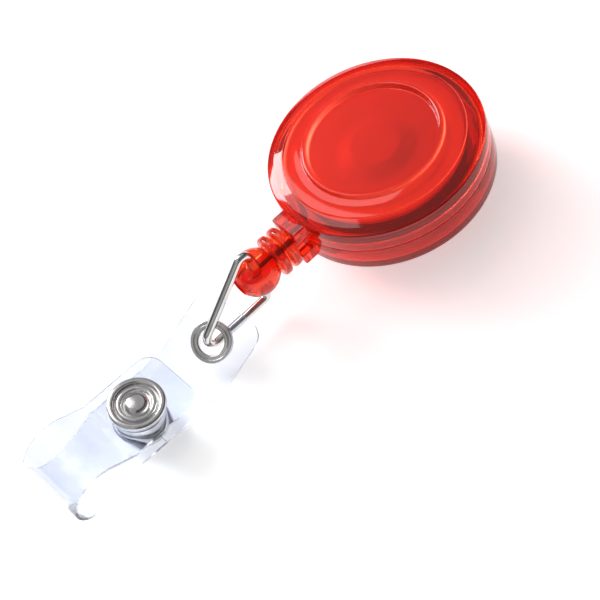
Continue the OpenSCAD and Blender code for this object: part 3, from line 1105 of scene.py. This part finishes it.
@dataclass
class SpoolAndSpring:
    """The white spool, its cover and the clockwork spring.

    Attributes:
        bottom: Height of the spool's underside, in mm.
        groove: Heights of the cord's groove, in mm.
        top: Height of the spool's top, in mm.
        hub: Radius the cord is wound on, in mm.
        flange: Radius of the rear flange, in mm.
        front_flange: Radius of the front flange, smaller than the winding, in mm.
        bore: Radius of the bore, in mm.
        cap: Heights of the underside and the top of the cover's cap, in mm.
    """

    bottom: float = 5.8
    groove: tuple[float, float] = (6.4, 9.9)
    top: float = 10.6
    hub: float = 10.9
    flange: float = 14.3
    front_flange: float = 12.9
    bore: float = 3.05
    cap: tuple[float, float] = (11.62, 12.0)

    def spool(self) -> Obj:
        """The spool's drum and flanges."""
        low, high = self.groove
        corners = [
            (self.bore, self.bottom, 0.1),
            (self.flange, self.bottom, 0.2),
            (self.flange, low, 0.2),
            (self.hub, low, 0.15),
            (self.hub, high, 0.15),
            (self.front_flange, high, 0.2),
            (self.front_flange, self.top, 0.2),
            (self.hub - 0.6, self.top, 0.1),
            (self.hub - 0.6, self.top - 0.5, 0.05),
            (self.hub - 0.9, self.top - 0.5, 0.1),
            (self.hub - 0.9, low, 0.15),
            (self.bore + 0.75, low, 0.1),
            (self.bore + 0.75, low + 0.5, 0.1),
            (self.bore, low + 0.5, 0.1),
        ]
        return lathe("spool_moulding", corners, cyclic=True, steps=160, segments=3)

    def cover(self) -> Obj:
        """The disc that closes the spring's chamber, its cap covering the post."""
        base, (under, lid) = self.top - 0.5, self.cap
        corners = [
            (0, under, 0),
            (self.bore + 0.15, under, 0.1),
            (self.bore + 0.15, base, 0.1),
            (self.hub - 0.65, base, 0.05),
            (self.hub - 0.65, base + 0.7, 0.15),
            (self.bore + 2.9, base + 0.7, 0.6),
            (self.bore + 0.65, lid, 0.6),
            (0, lid, 0),
        ]
        return lathe("spring_cover_disc", corners, steps=128, segments=4)

    def build(self, finishes: Finishes) -> None:
        """Make and dress the spool's pieces."""
        dress(self.spool(), finishes.spool, Slot.SPOOL, Body.SPOOL, "spool")
        dress(self.cover(), finishes.spool, Slot.SPOOL, Body.SPOOL, "spring_cover")
        repaint("power_spring", finishes.spring)


@dataclass
class Cord:
    """The black cord: its winding, its run through the guide, and its knot.

    Attributes:
        radius: Radius of the cord, in mm.
        layers: Radius of each layer of turns, in mm.
        low: Height of the lowest turn's middle, in mm.
        high: Height of the highest turn's middle, in mm.
        seam: Height the cord runs out at, in mm.
        leave: Where the winding ends, in degrees round the axis.
        knot: Distance of the knot's middle from the axis, in mm.
        turns: Turns in each layer.
        outer: Radius the last turn rises to as it leaves, in mm.
        straight: Distance from the axis where its run is straight, in mm.
    """

    radius: float = 0.45
    layers: tuple[float, ...] = (11.4, 12.12, 12.84)
    low: float = 6.88
    high: float = 9.42
    seam: float = 8.9
    leave: float = 158.4
    knot: float = 21.2
    turns: float = 3.45
    outer: float = 13.78
    straight: float = 15.5

    def winding(self) -> Obj:
        """Three layers of turns, up, down and up again, ending where the cord leaves."""
        per_turn, climb, lead_out = 40, 0.06, 0.08
        total = self.turns * len(self.layers)
        count = int(total * per_turn)
        path = []
        for i in range(count + 1):
            done = i / per_turn
            layer = min(int(done / self.turns), len(self.layers) - 1)
            part = done / self.turns - layer
            r = self.layers[layer]
            if layer and part < climb:
                r = self.layers[layer - 1] + (r - self.layers[layer - 1]) * part / climb
            end = self.seam if layer == len(self.layers) - 1 else self.high
            rising = layer % 2 == 0
            z = self.low + (end - self.low) * part if rising else self.high - (self.high - self.low) * part
            left = total - done
            if left < lead_out:
                r += (self.outer - self.layers[-1]) * (1 - left / lead_out) ** 2
            angle = (self.leave - 360 * left) * DEG
            path.append(Vector((r * math.cos(angle), r * math.sin(angle), z)) * MM)
        return tube("cord_winding", path, self.radius * MM, 10)

    def run(self) -> Obj:
        """From the winding through the guide to the knot, bending at the guide's bell."""
        route = [
            (-12.86, 5.02), (-13.48, 3.4), (-14.05, 1.85), (-14.52, 0.8), (-14.85, 0.25),
            (-15.2, 0.02), (-self.straight, 0.0),
        ]
        path = [Vector((x, y, self.seam)) * MM for x, y in smooth_path(route, 5)]
        steps = 60
        for k in range(1, steps + 1):
            x = -self.straight - (self.knot - 0.55 - self.straight) * k / steps
            path.append(Vector((x, 0, self.seam)) * MM)
        return tube("cord_run", path, self.radius * MM, 12)

    def tied(self) -> Obj:
        """The overhand knot that stops the cord in the ball, with its cut tail."""
        path = []
        for k in range(73):
            t = (k / 72 * 0.93 + 0.035) * math.tau
            out = 0.31 * (1.75 + math.cos(3 * t))
            path.append(Vector((0.42 * math.sin(3 * t), out * math.cos(2 * t), out * math.sin(2 * t))))
        path.extend(path[-1] + Vector((-0.35 * k, -0.05 * k, 0.04 * k)) for k in range(1, 4))
        path = [(p + Vector((-self.knot, 0, self.seam))) * MM for p in path]
        return tube("cord_knot_tied", path, 0.36 * MM, 10)

    def build(self, finishes: Finishes) -> None:
        """Make and dress the cord's pieces."""
        dress(self.winding(), finishes.cord, Slot.CORD, Body.SPOOL, "wound_cord")
        run = self.run()
        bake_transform(run)
        dress(run, finishes.cord, Slot.CORD, None, "cord_inner_lead", "cord_end")
        dress(self.tied(), finishes.cord, Slot.CORD, Body.CORD_END, "cord_knot")


# ---- stop and loop --------------------------------------------------------------------------------


@dataclass
class CordStop:
    """The ribbed stop and ball.

    Attributes:
        near: Distance of its near end from the axis, in mm.
        ball: Distance of the ball's middle from the axis, in mm.
        ball_radius: Radius of the ball, in mm.
        rib_radius: Radius of the ribs, in mm.
        neck: Radius between the ribs, in mm.
        pitch: From rib to rib, in mm.
        seam: Height of its axis, in mm.
        cord_hole: Radius of the cord's hole, in mm.
        knot_hole: Radius of the knot's bore, in mm.
        cross_hole: Radius of the wire's hole, in mm.
    """

    near: float = 18.05
    ball: float = 24.4
    ball_radius: float = 3.5
    rib_radius: float = 3.3
    neck: float = 2.3
    pitch: float = 1.8
    seam: float = 8.9
    cord_hole: float = 0.6
    knot_hole: float = 1.4
    cross_hole: float = 0.75

    def build(self, finishes: Finishes) -> None:
        """Make and dress the stop."""
        length = self.ball - self.near
        corners: list[Corner] = [(0, 0, 0), (self.neck, 0, 0.15)]
        for k in range(2):
            middle = 0.95 + self.pitch * k
            corners += [
                (self.neck, middle - 0.72, 0.1),
                (self.rib_radius, middle - 0.6, 0.42),
                (self.rib_radius, middle + 0.6, 0.42),
                (self.neck, middle + 0.72, 0.1),
            ]
        first = -math.acos(self.neck / self.ball_radius)
        ball = [
            (self.ball_radius * math.cos(a), length + self.ball_radius * math.sin(a), 0)
            for a in (first + (math.pi / 2 - first) * k / 40 for k in range(41))
        ]
        ball[-1] = (0, length + self.ball_radius, 0)
        body = lathe("cord_stop_moulding", corners + ball, steps=128)
        place(body, shift(-self.near, 0, self.seam) @ turn(-90, "Y"))
        axis = turn(90, "Y")
        knot_from = self.near + 3.1 - 1.15
        cord_tool = rod("cord_hole", self.cord_hole, 8, shift(-self.near - 1, 0, self.seam) @ axis)
        narrow, wide, mouth = self.knot_hole, self.knot_hole + 0.6, 8.6
        bore = [(0, 0, 0), (narrow, 0, 0.3), (narrow, 7.6, 0.1), (wide, mouth, 0), (0, mouth, 0)]
        knot_tool = lathe("knot_hole", bore, steps=48)
        place(knot_tool, shift(-knot_from, 0, self.seam) @ turn(-90, "Y"))
        cross_tool = rod("cross_hole", self.cross_hole, 20, shift(-self.ball, 0, self.seam))
        cut(body, cord_tool, knot_tool, cross_tool)
        dress(soften(body, 40), finishes.stop, Slot.STOP, Body.STOP, "cord_stop")


@dataclass
class WireLoop:
    """The wire loop, bent from one length whose ends butt in the ball.

    Attributes:
        wire: Radius of the wire, in mm.
        corners: The corners where its legs would meet, as X and Z, in mm.
        bends: The bend radius at each corner, in mm.
        seam: Height where its ends meet, in mm.
        gap: Half the gap between its ends, in mm.
    """

    wire: float = 0.65
    corners: tuple[tuple[float, float], ...] = ((-24.4, 14.5), (-38.2, 3.2), (-24.4, 3.2))
    bends: tuple[float, ...] = (1.0, 1.5, 1.1)
    seam: float = 8.9
    gap: float = 0.1

    def build(self, finishes: Finishes) -> None:
        """Bend the wire with extrude and spin, and dress it."""
        points = [Vector((x, 0, z)) for x, z in self.corners]
        start = Vector((points[0].x, 0, self.seam + self.gap))
        finish = Vector((points[0].x, 0, self.seam - self.gap))
        stops = [start, *points, finish]
        deselect()
        bpy.ops.mesh.primitive_circle_add(
            vertices=40, radius=self.wire * MM, fill_type="NGON", location=start * MM
        )
        piece = settle(added("wire_loop_bent"))
        here = start
        with editing(piece):
            bpy.ops.mesh.select_all(action="SELECT")
            for i, radius in enumerate(self.bends):
                corner = stops[i + 1]
                back = (here - corner).normalized()
                ahead = (stops[i + 2] - corner).normalized()
                half = back.angle(ahead) / 2
                run = radius / math.tan(half)
                leg = corner + back * run - here
                bpy.ops.mesh.extrude_region_move(TRANSFORM_OT_translate={"value": leg * MM})
                centre = corner + (back + ahead).normalized() * (radius / math.sin(half))
                axis = ahead.cross(-back).normalized()
                bpy.ops.mesh.spin(steps=14, angle=math.pi - 2 * half, center=centre * MM, axis=axis)
                here = corner + ahead * run
            bpy.ops.mesh.extrude_region_move(TRANSFORM_OT_translate={"value": (finish - here) * MM})
        weld(piece)
        apply_modifier(
            piece, "BEVEL", width=0.12 * MM, segments=3, limit_method="ANGLE", angle_limit=SHARP
        )
        dress(soften(piece, 40), finishes.wire, Slot.WIRE, Body.LOOP, "wire_loop")


# ---- strap, eyelet and snap -----------------------------------------------------------------------


@dataclass
class Route:
    """The middle line of a bent strip, in the strip's own plane.

    Attributes:
        points: Its points as X, Z and the strip's sideways twist in degrees, in mm.
        steps: Pieces between each two points.
    """

    points: Sequence[Corner]
    steps: int = 10

    def __post_init__(self) -> None:
        """Work out the smooth line, its tangents and how far along it each point is."""
        self.line = smooth_path(self.points, self.steps)
        flat = [Vector((p.x, p.y)) for p in self.line]
        last = len(flat) - 1
        self.runs = [0.0]
        for a, b in zip(flat, flat[1:]):
            self.runs.append(self.runs[-1] + (b - a).length)
        self.ahead = [(flat[min(i + 1, last)] - flat[max(i - 1, 0)]).normalized() for i in range(last + 1)]

    @property
    def length(self) -> float:
        """The whole length, in mm."""
        return self.runs[-1]

    def at(self, x: float, z: float, after: float = 0.0) -> float:
        """How far along the route it passes nearest a point.

        Args:
            x: The point's X, in mm.
            z: The point's Z, in mm.
            after: Look only further along than this.

        Returns:
            The distance along, in mm.
        """
        near = min(
            (i for i, run in enumerate(self.runs) if run > after),
            key=lambda i: (self.line[i].x - x) ** 2 + (self.line[i].y - z) ** 2,
        )
        offset = Vector((x - self.line[near].x, z - self.line[near].y))
        return self.runs[near] + offset.dot(self.ahead[near])

    def bend(self, flat: Vector) -> Vector:
        """Where a point of the flat strip goes.

        Args:
            flat: The point: along the strip, across it, and up from its middle, in mm.

        Returns:
            The point on the bent strip, in mm.
        """
        run = min(max(flat.x, 0.0), self.runs[-1])
        i = min(bisect_right(self.runs, run) - 1, len(self.runs) - 2)
        span = self.runs[i + 1] - self.runs[i]
        t = (run - self.runs[i]) / span if span else 0.0
        middle = self.line[i].lerp(self.line[i + 1], t)
        ahead = self.ahead[i].lerp(self.ahead[i + 1], t).normalized()
        twist = middle.z * DEG
        up = Vector((ahead.y, 0, -ahead.x))
        across = Vector((0, 1, 0))
        side = across * math.cos(twist) + up * math.sin(twist)
        out = up * math.cos(twist) - across * math.sin(twist)
        beyond = flat.x - run
        return (
            Vector((middle.x, 0, middle.y))
            + flat.y * side
            + flat.z * out
            + beyond * Vector((ahead.x, 0, ahead.y))
        )


@dataclass
class Strip:
    """A strip cut flat, holed, and bent along a route.

    Attributes:
        route: The route of its middle line.
        width: Its width, in mm.
        thickness: Its thickness, in mm.
        cuts: Pieces along it, which is how finely it bends.
        edge: The radius of its long edges, in mm.
    """

    route: Route
    width: float
    thickness: float
    cuts: int = 110
    edge: float = 0.08

    def make(
        self,
        name: str,
        start: float,
        end: float,
        start_corner: float,
        end_corner: float,
        holes: Sequence[tuple[float, float]],
    ) -> Obj:
        """Cut one stretch of the strip and bend it.

        Args:
            name: The piece's name.
            start: Where it starts along the route, in mm.
            end: Where it ends, in mm.
            start_corner: Radius of the corners at its start, in mm; 0 leaves it square.
            end_corner: Radius of the corners at its end, in mm.
            holes: Each hole's distance along the route and radius, in mm.

        Returns:
            The bent piece, still in the strip's own frame.
        """
        half = self.width / 2
        piece = block(name, (start, -half, -self.thickness / 2), (end, half, self.thickness / 2))
        for run, corner in ((start, start_corner), (end, end_corner)):
            if corner <= 0:
                continue
            with editing(piece):
                bpy.ops.mesh.select_mode(type="EDGE")
                bpy.ops.mesh.select_all(action="DESELECT")
            for edge in piece.data.edges:
                a, b = (piece.data.vertices[v].co for v in edge.vertices)
                edge.select = abs(a.x - b.x) + abs(a.y - b.y) < 1e-7 and abs(a.x - run * MM) < TOUCHING
            with editing(piece):
                bpy.ops.mesh.bevel(offset=corner * MM, segments=12, affect="EDGES")
        for run, radius in holes:
            cut(piece, rod("hole", radius, 4, shift(run, 0, 0)))
        apply_modifier(
            piece, "BEVEL", width=self.edge * MM, segments=2, limit_method="ANGLE", angle_limit=SHARP
        )
        with editing(piece):
            for k in range(1, self.cuts):
                run = start + (end - start) * k / self.cuts
                bpy.ops.mesh.select_all(action="SELECT")
                bpy.ops.mesh.bisect(plane_co=(run * MM, 0, 0), plane_no=(1, 0, 0))
            for across in (-0.32, 0.0, 0.32):
                bpy.ops.mesh.select_all(action="SELECT")
                bpy.ops.mesh.bisect(plane_co=(0, self.width * across * MM, 0), plane_no=(0, 1, 0))
        for vertex in piece.data.vertices:
            vertex.co = self.route.bend(vertex.co / MM) * MM
        weld(piece)
        return soften(piece, 40)


@dataclass
class StrapPose:
    """Where the strap rests.

    Attributes:
        at: The middle of its eyelet seat, in mm.
        yaw: Its turn away from the cord's line, in degrees.
        roll: Its sideways lean, in degrees.
        seat_height: The strap's own height at the eyelet, in mm.
        seat_pitch: The seat's slope, in degrees.
        seat_roll: The seat's own lean, in degrees.
        snap_x: The snap's place along the strap, in mm.
        snap_z: Height of the strap's back under the snap, in mm.
        snap_pitch: The snap's lean, in degrees.
        gap: From the strap's back to its flap at the snap, in mm.
        thickness: The vinyl's thickness, in mm.
    """

    at: tuple[float, float, float] = (-35.0, -0.1, 3.55)
    yaw: float = 2.5
    roll: float = 11.0
    seat_height: float = 0.75
    seat_pitch: float = 27.0
    seat_roll: float = 14.0
    snap_x: float = -14.6
    snap_z: float = -0.9
    snap_pitch: float = 7.0
    gap: float = 3.2
    thickness: float = 0.5

    @property
    def frame(self) -> Matrix:
        """The strap's own frame."""
        return shift(*self.at) @ turn(self.yaw, "Z") @ turn(self.roll, "X")

    @property
    def eyelet(self) -> Matrix:
        """The eyelet's seat, its axis along Z."""
        seat = shift(0, 0, self.seat_height) @ turn(-self.seat_pitch, "Y") @ turn(self.seat_roll, "X")
        return self.frame @ seat

    def snap(self, height: float) -> Matrix:
        """The snap's axis, at a height over the strap's back."""
        foot = self.frame @ shift(self.snap_x, 0, self.snap_z) @ turn(self.snap_pitch, "Y")
        return foot @ shift(0, 0, height)

    def seat(self, run: float) -> Corner:
        """A point of the route on the eyelet's seat."""
        angle = self.seat_pitch * DEG
        return (run * math.cos(angle), self.seat_height + run * math.sin(angle), self.seat_roll)

    def layer(self, run: float, height: float) -> Corner:
        """A point of the route on the flat stretch at the snap."""
        c, s = math.cos(self.snap_pitch * DEG), math.sin(self.snap_pitch * DEG)
        return (self.snap_x + run * c + height * s, self.snap_z - run * s + height * c, 0.0)


@dataclass
class VinylStrap:
    """The clear strap, bent from its eyelet end round the fold to its free end.

    Attributes:
        pose: Where it rests.
        width: Its width, in mm.
        corner: Radius of its corners, in mm.
        eyelet_hole: Radius of the eyelet's hole, in mm.
        snap_hole: Radius of the snap's holes, in mm.
    """

    pose: StrapPose
    width: float = 11.0
    corner: float = 2.4
    eyelet_hole: float = 2.25
    snap_hole: float = 1.35

    def route(self) -> Route:
        """The strap's middle line."""
        p, gap = self.pose, self.pose.gap
        return Route(
            [
                p.seat(5.6), p.seat(3.2), p.seat(-3.2), p.seat(-3.7), (-5.1, -1.38, 8), (-6.8, -1.5, 3),
                p.layer(5, 0), p.layer(4.2, 0), p.layer(-4.2, 0), p.layer(-5, 0), (-21.6, -0.9, 0),
                (-24.5, -1.55, 0), (-27, -1.8, 0), (-29.2, -1.1, 0), (-30.3, 0.4, 0), (-30.6, 2.1, 0),
                (-30.1, 4.1, 0), (-28.6, 5.7, 0), (-26.4, 6.4, 0), (-24, 5.9, 0), (-21.8, 4.5, 0),
                (-20.2, 3.5, 0), p.layer(-5.1, gap), p.layer(-4.2, gap), p.layer(4.2, gap),
                p.layer(5, gap), p.layer(7.2, gap),
            ]
        )

    def build(self, finishes: Finishes) -> None:
        """Make and dress the strap: the stretch that stays flat, and the one that the fold opens."""
        p = self.pose
        route = self.route()
        strip = Strip(route, self.width, p.thickness)
        eyelet = route.at(0, p.seat_height)
        low = p.layer(0, 0)
        high = p.layer(0, p.gap)
        under = route.at(low[0], low[1])
        over = route.at(high[0], high[1], after=under + 20)
        holes = [(eyelet, self.eyelet_hole), (under, self.snap_hole)]
        tab = strip.make("strap_eyelet_half", 0, under, self.corner, 0, holes)
        holes = [(under, self.snap_hole), (over, self.snap_hole)]
        fold = strip.make("strap_fold_half", under, route.length, 0, self.corner, holes)
        place(tab, p.frame)
        place(fold, p.frame)
        dress(tab, finishes.vinyl, Slot.STRAP, Body.STRAP, "strap_back")
        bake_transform(fold)
        dress(fold, finishes.vinyl, Slot.STRAP, None, "strap_flap")


@dataclass
class Eyelet:
    """The eyelet through the strap and its washer.

    Attributes:
        pose: Where the strap rests.
        hole: Radius of its hole, in mm.
        barrel: Outside radius of its barrel, in mm.
        flange: Radius of its flange, in mm.
    """

    pose: StrapPose
    hole: float = 1.9
    barrel: float = 2.2
    flange: float = 3.1

    def build(self, finishes: Finishes) -> None:
        """Make and dress the eyelet and its washer."""
        top = self.pose.thickness / 2
        ring = lathe(
            "eyelet_pressing",
            [
                (self.hole, -top - 0.45, 0.12),
                (self.barrel, -top - 0.45, 0.1),
                (self.barrel, top + 0.05, 0.03),
                (self.flange, top + 0.06, 0.1),
                (self.flange, top + 0.42, 0.2),
                (2.66, top + 0.42, 0.1),
                (2.56, top + 0.28, 0.08),
                (2.44, top + 0.4, 0.1),
                (self.hole, top + 0.4, 0.25),
            ],
            cyclic=True,
            steps=96,
        )
        washer = lathe(
            "eyelet_washer_ring",
            [
                (self.barrel + 0.05, -top - 0.06, 0.02),
                (3.0, -top - 0.06, 0.04),
                (3.0, -top - 0.42, 0.16),
                (2.62, -top - 0.42, 0.1),
                (self.barrel + 0.05, -top - 0.4, 0.05),
            ],
            cyclic=True,
            steps=96,
        )
        for piece, node in ((ring, "eyelet"), (washer, "eyelet_washer")):
            dress(place(piece, self.pose.eyelet), finishes.plated, Slot.EYELET, Body.EYELET, node)


@dataclass
class Snap:
    """The strap's snap: cap and socket on the flap, stud and post on the strap.

    Attributes:
        pose: Where the strap rests.
        radius: Radius of the cap, in mm.
    """

    pose: StrapPose
    radius: float = 4.2

    def cap(self) -> Obj:
        """The pressed cap: a rolled rim, a channel, a ring, a channel and a dome."""
        r = self.radius
        return lathe(
            "snap_cap_pressing",
            [
                (0, -0.75, 0), (1.3, -0.75, 0.1), (1.3, 0, 0.05), (r, 0, 0.5), (r, 1.12, 0.55),
                (3.3, 1.12, 0.3), (3.12, 0.48, 0.12), (2.96, 0.48, 0.1), (2.78, 0.96, 0.2),
                (2.24, 0.96, 0.22), (2.02, 0.5, 0.12), (1.8, 0.46, 0.1), (1.6, 0.9, 0.25),
                (1.25, 1.18, 0.7), (0, 1.28, 0),
            ],
        )

    def socket(self) -> Obj:
        """The socket under the flap."""
        return lathe(
            "snap_socket_pressing",
            [
                (1.35, 0, 0.03), (1.35, -0.45, 0.1), (2.7, -0.45, 0.05), (2.7, -1.0, 0.1), (2.1, -1.0, 0.1),
                (2.1, -1.5, 0.12), (3.7, -1.5, 0.35), (3.9, -0.9, 0.4), (3.75, -0.35, 0.2), (3.3, 0, 0.1),
            ],
            cyclic=True,
        )

    def stud(self) -> Obj:
        """The stud on the strap's back."""
        return lathe(
            "snap_stud_pressing",
            [
                (1.35, 0, 0.03), (3.77, 0, 0.35), (3.77, 0.84, 0.4), (3.0, 0.84, 0.15), (2.7, 0.6, 0.15),
                (1.6, 0.66, 0.15), (1.55, 1.05, 0.1), (1.75, 1.3, 0.2), (1.6, 1.55, 0.2), (1.2, 1.55, 0.1),
                (1.2, 0.6, 0.05), (1.35, 0.6, 0.03),
            ],
            cyclic=True,
        )

    def post(self) -> Obj:
        """The post under the strap, whose shank goes up into the stud."""
        return lathe(
            "snap_post_pressing",
            [
                (0, 0.95, 0), (1.15, 0.95, 0.15), (1.3, 0.45, 0.1), (1.3, 0, 0.05), (4.1, 0, 0.4),
                (4.1, -0.9, 0.42), (3.1, -0.9, 0.25), (2.8, -0.55, 0.2), (0, -0.5, 0),
            ],
        )

    def build(self, finishes: Finishes) -> None:
        """Make and dress the snap's pieces."""
        half = self.pose.thickness / 2 + 0.01
        gap = self.pose.gap
        for piece, height, body, node in (
            (self.cap(), gap + half, Body.FLAP, "snap_cap"),
            (self.socket(), gap - half, Body.FLAP, "snap_socket"),
            (self.stud(), half, Body.STRAP, "snap_stud"),
            (self.post(), -half, Body.STRAP, "snap_post"),
        ):
            dress(place(piece, self.pose.snap(height)), finishes.plated, Slot.SNAP, body, node)
        ring = []
        radius, opening, steps = 2.4, 20, 40
        for k in range(steps + 1):
            angle = (opening + (360 - 2 * opening) * k / steps) * DEG
            ring.append(Vector((radius * math.cos(angle), radius * math.sin(angle), 0)) * MM)
        spring = tube("socket_spring_ring", ring, 0.2 * MM, 10)
        place(spring, self.pose.snap(gap - half + 0.01 - 0.72))
        dress(spring, finishes.spring, Slot.SPRING, Body.FLAP, "socket_spring")


# ---- belt clip ------------------------------------------------------------------------------------


@dataclass
class BeltClip:
    """The bent steel clip, its rivet and washer.

    Attributes:
        width: Its width, in mm.
        steel: Its thickness, in mm.
        top: Height of its upper face, in mm.
        bend_x: Where its bend starts, in mm.
        plate_tip: The end of its inner leaf, in mm.
        tongue_tip: The end of its outer leaf, in mm.
    """

    width: float = 12.0
    steel: float = 0.7
    top: float = 4.2
    bend_x: float = 11.5
    plate_tip: float = -8.5
    tongue_tip: float = -12.5

    def route(self) -> Route:
        """The clip's middle line, with the pressed bar across its outer leaf."""
        half = self.steel / 2
        middle = self.top / 2
        radius = middle - half
        points: list[Corner] = [(self.plate_tip, self.top - half, 0)]
        points += [(x, self.top - half, 0) for x in (-4.0, 4.0, self.bend_x - 0.6)]
        for k in range(9):
            angle = (90 - 180 * k / 8) * DEG
            points.append((self.bend_x + radius * math.cos(angle), middle + radius * math.sin(angle), 0))
        points += [(x, half, 0) for x in (self.bend_x - 0.6, 4.0, -4.4, -5.4)]
        points += [(-6.4, half + 0.3, 0), (-7.5, half + 0.78, 0), (-8.6, half + 0.3, 0)]
        points += [(-9.6, half, 0), (-10.2, half, 0), (self.tongue_tip, half, 0)]
        return Route(points, 8)

    def build(self, finishes: Finishes) -> None:
        """Make and dress the clip's pieces."""
        route = self.route()
        strip = Strip(route, self.width, self.steel, cuts=120, edge=0.12)
        rivet_at = route.at(0, self.top - self.steel / 2)
        tip = self.width / 2 - 0.02
        leaf = strip.make("belt_clip_spring", 0, route.length, tip, tip, [(rivet_at, 1.25)])
        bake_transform(leaf)
        dress(leaf, finishes.clip, Slot.CLIP, None, "belt_clip_plate", "belt_clip_tongue")
        base = self.top - self.steel
        rivet = lathe(
            "clip_rivet_tubular",
            [
                (0, base - 0.62, 0), (1.5, base - 0.66, 0.3), (2.3, base - 0.3, 0.15), (2.4, base, 0.03),
                (1.2, base, 0.02), (1.2, base + 3.1, 0.05), (1.75, base + 3.1, 0.05),
                (1.75, base + 3.4, 0.12), (1.2, base + 3.68, 0.15), (0.8, base + 3.3, 0.1),
                (0.8, base + 0.6, 0.1), (0, base + 0.6, 0),
            ],
            steps=64,
        )
        dress(rivet, finishes.clip, Slot.RIVET, Body.CASE, "clip_rivet")
        repaint("rivet_washer", finishes.clip)


# ---- studio ---------------------------------------------------------------------------------------


@dataclass
class Studio:
    """Floor, soft light and camera.

    Attributes:
        eye: The camera's place, in metres.
        right: The camera's own +X.
        up: The camera's own +Y.
        lens: Focal length, in mm, on a 36 mm sensor.
        key: Power of the softbox overhead, in watts.
        window: Power of the low softbox behind, in watts.
        fill: Power of the fill, in watts.
        sky: Strength of the surround.
    """

    eye: tuple[float, float, float] = (-0.07692, -0.17417, 0.22073)
    right: tuple[float, float, float] = (0.7249, -0.6197, -0.3009)
    up: tuple[float, float, float] = (0.6607, 0.5019, 0.5582)
    lens: float = 120.0
    key: float = 0.55
    window: float = 1.4
    fill: float = 0.15
    sky: float = 0.38

    def camera(self) -> None:
        """Set up the camera."""
        data = bpy.data.cameras.new("view")
        data.lens, data.sensor_width = self.lens, 36.0
        data.clip_start, data.clip_end = 0.01, 20.0
        piece = bpy.data.objects.new("view", data)
        bpy.context.scene.collection.objects.link(piece)
        right = Vector(self.right).normalized()
        up = Vector(self.up)
        up = (up - right * up.dot(right)).normalized()
        back = right.cross(up)
        piece.matrix_world = Matrix.Translation(self.eye) @ Matrix((right, up, back)).transposed().to_4x4()
        bpy.context.scene.camera = piece

    @staticmethod
    def softbox(
        name: str, place_at: Sequence[float], target: Sequence[float], size: float, power: float
    ) -> None:
        """Hang a square softbox.

        Args:
            name: Its name.
            place_at: Where it hangs, in metres.
            target: What it points at.
            size: Its side, in metres.
            power: Its power, in watts.
        """
        data = bpy.data.lights.new(name, "AREA")
        data.shape, data.size, data.energy = "SQUARE", size, power
        lamp = bpy.data.objects.new(name, data)
        bpy.context.scene.collection.objects.link(lamp)
        aim = Vector(place_at) - Vector(target)
        lamp.matrix_world = Matrix.Translation(place_at) @ aim.to_track_quat("Z", "Y").to_matrix().to_4x4()

    def surround(self) -> None:
        """A soft surround, bright overhead and darker towards the viewer's side."""
        world = bpy.data.worlds.new("surround")
        bpy.context.scene.world = world
        world.use_nodes = True
        tree = world.node_tree
        background = tree.nodes["Background"]
        where = tree.nodes.new("ShaderNodeTexCoord").outputs["Generated"]
        split = tree.nodes.new("ShaderNodeSeparateXYZ")
        wire(tree, where, split.inputs["Vector"])
        ramp = tree.nodes.new("ShaderNodeValToRGB")
        ramp.color_ramp.interpolation = "EASE"
        stops = ramp.color_ramp.elements
        low, high = (0.0, 0.55), (0.85, 0.95)
        for position, level in (low, (0.38, 0.12), (0.62, 0.25), high):
            if position in (low[0], high[0]):
                stop = stops[0 if position == low[0] else -1]
            else:
                stop = stops.new(position)
            stop.position = position
            stop.color = (level, level, level * 1.02, 1)
        lean = maths(tree, "ADD", split.outputs["Z"], maths(tree, "MULTIPLY", split.outputs["Y"], 0.5))
        wire(tree, lean, ramp.inputs["Fac"])
        wire(tree, ramp.outputs["Color"], background.inputs["Color"])
        background.inputs["Strength"].default_value = self.sky

    def build(self) -> None:
        """Set the floor, the light and the camera."""
        self.camera()
        deselect()
        bpy.ops.mesh.primitive_plane_add(size=3.0, location=(0, 0, -0.00005))
        floor = settle(added("floor"))
        floor.data.materials.append(PaleFloor("floor_white", (0.93, 0.93, 0.93), (0.9, 0.9, 0.905)).build())
        self.softbox("key", (-0.06, 0.26, 0.42), (-0.02, 0.0, 0.0), 0.28, self.key)
        self.softbox("window", (-0.1, 0.42, 0.265), (-0.012, 0.0, 0.01), 0.19, self.window)
        self.softbox("fill", (-0.38, -0.12, 0.3), (-0.03, 0.0, 0.0), 0.4, self.fill)
        self.surround()
        scene = bpy.context.scene
        scene.view_settings.view_transform = "Standard"
        scene.cycles.max_bounces = 32
        scene.cycles.glossy_bounces = 24
        scene.cycles.transmission_bounces = 24
        scene.cycles.transparent_max_bounces = 24


def main() -> None:
    """Build the reel and its studio."""
    logging.basicConfig(level=logging.INFO, format="%(message)s")
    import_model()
    Studio().build()
    finishes = Finishes()
    pose = StrapPose()
    Case().build(finishes)
    SpoolAndSpring().build(finishes)
    Cord().build(finishes)
    CordStop().build(finishes)
    WireLoop().build(finishes)
    Eyelet(pose).build(finishes)
    VinylStrap(pose).build(finishes)
    Snap(pose).build(finishes)
    BeltClip().build(finishes)


if __name__ == "__main__":
    main()
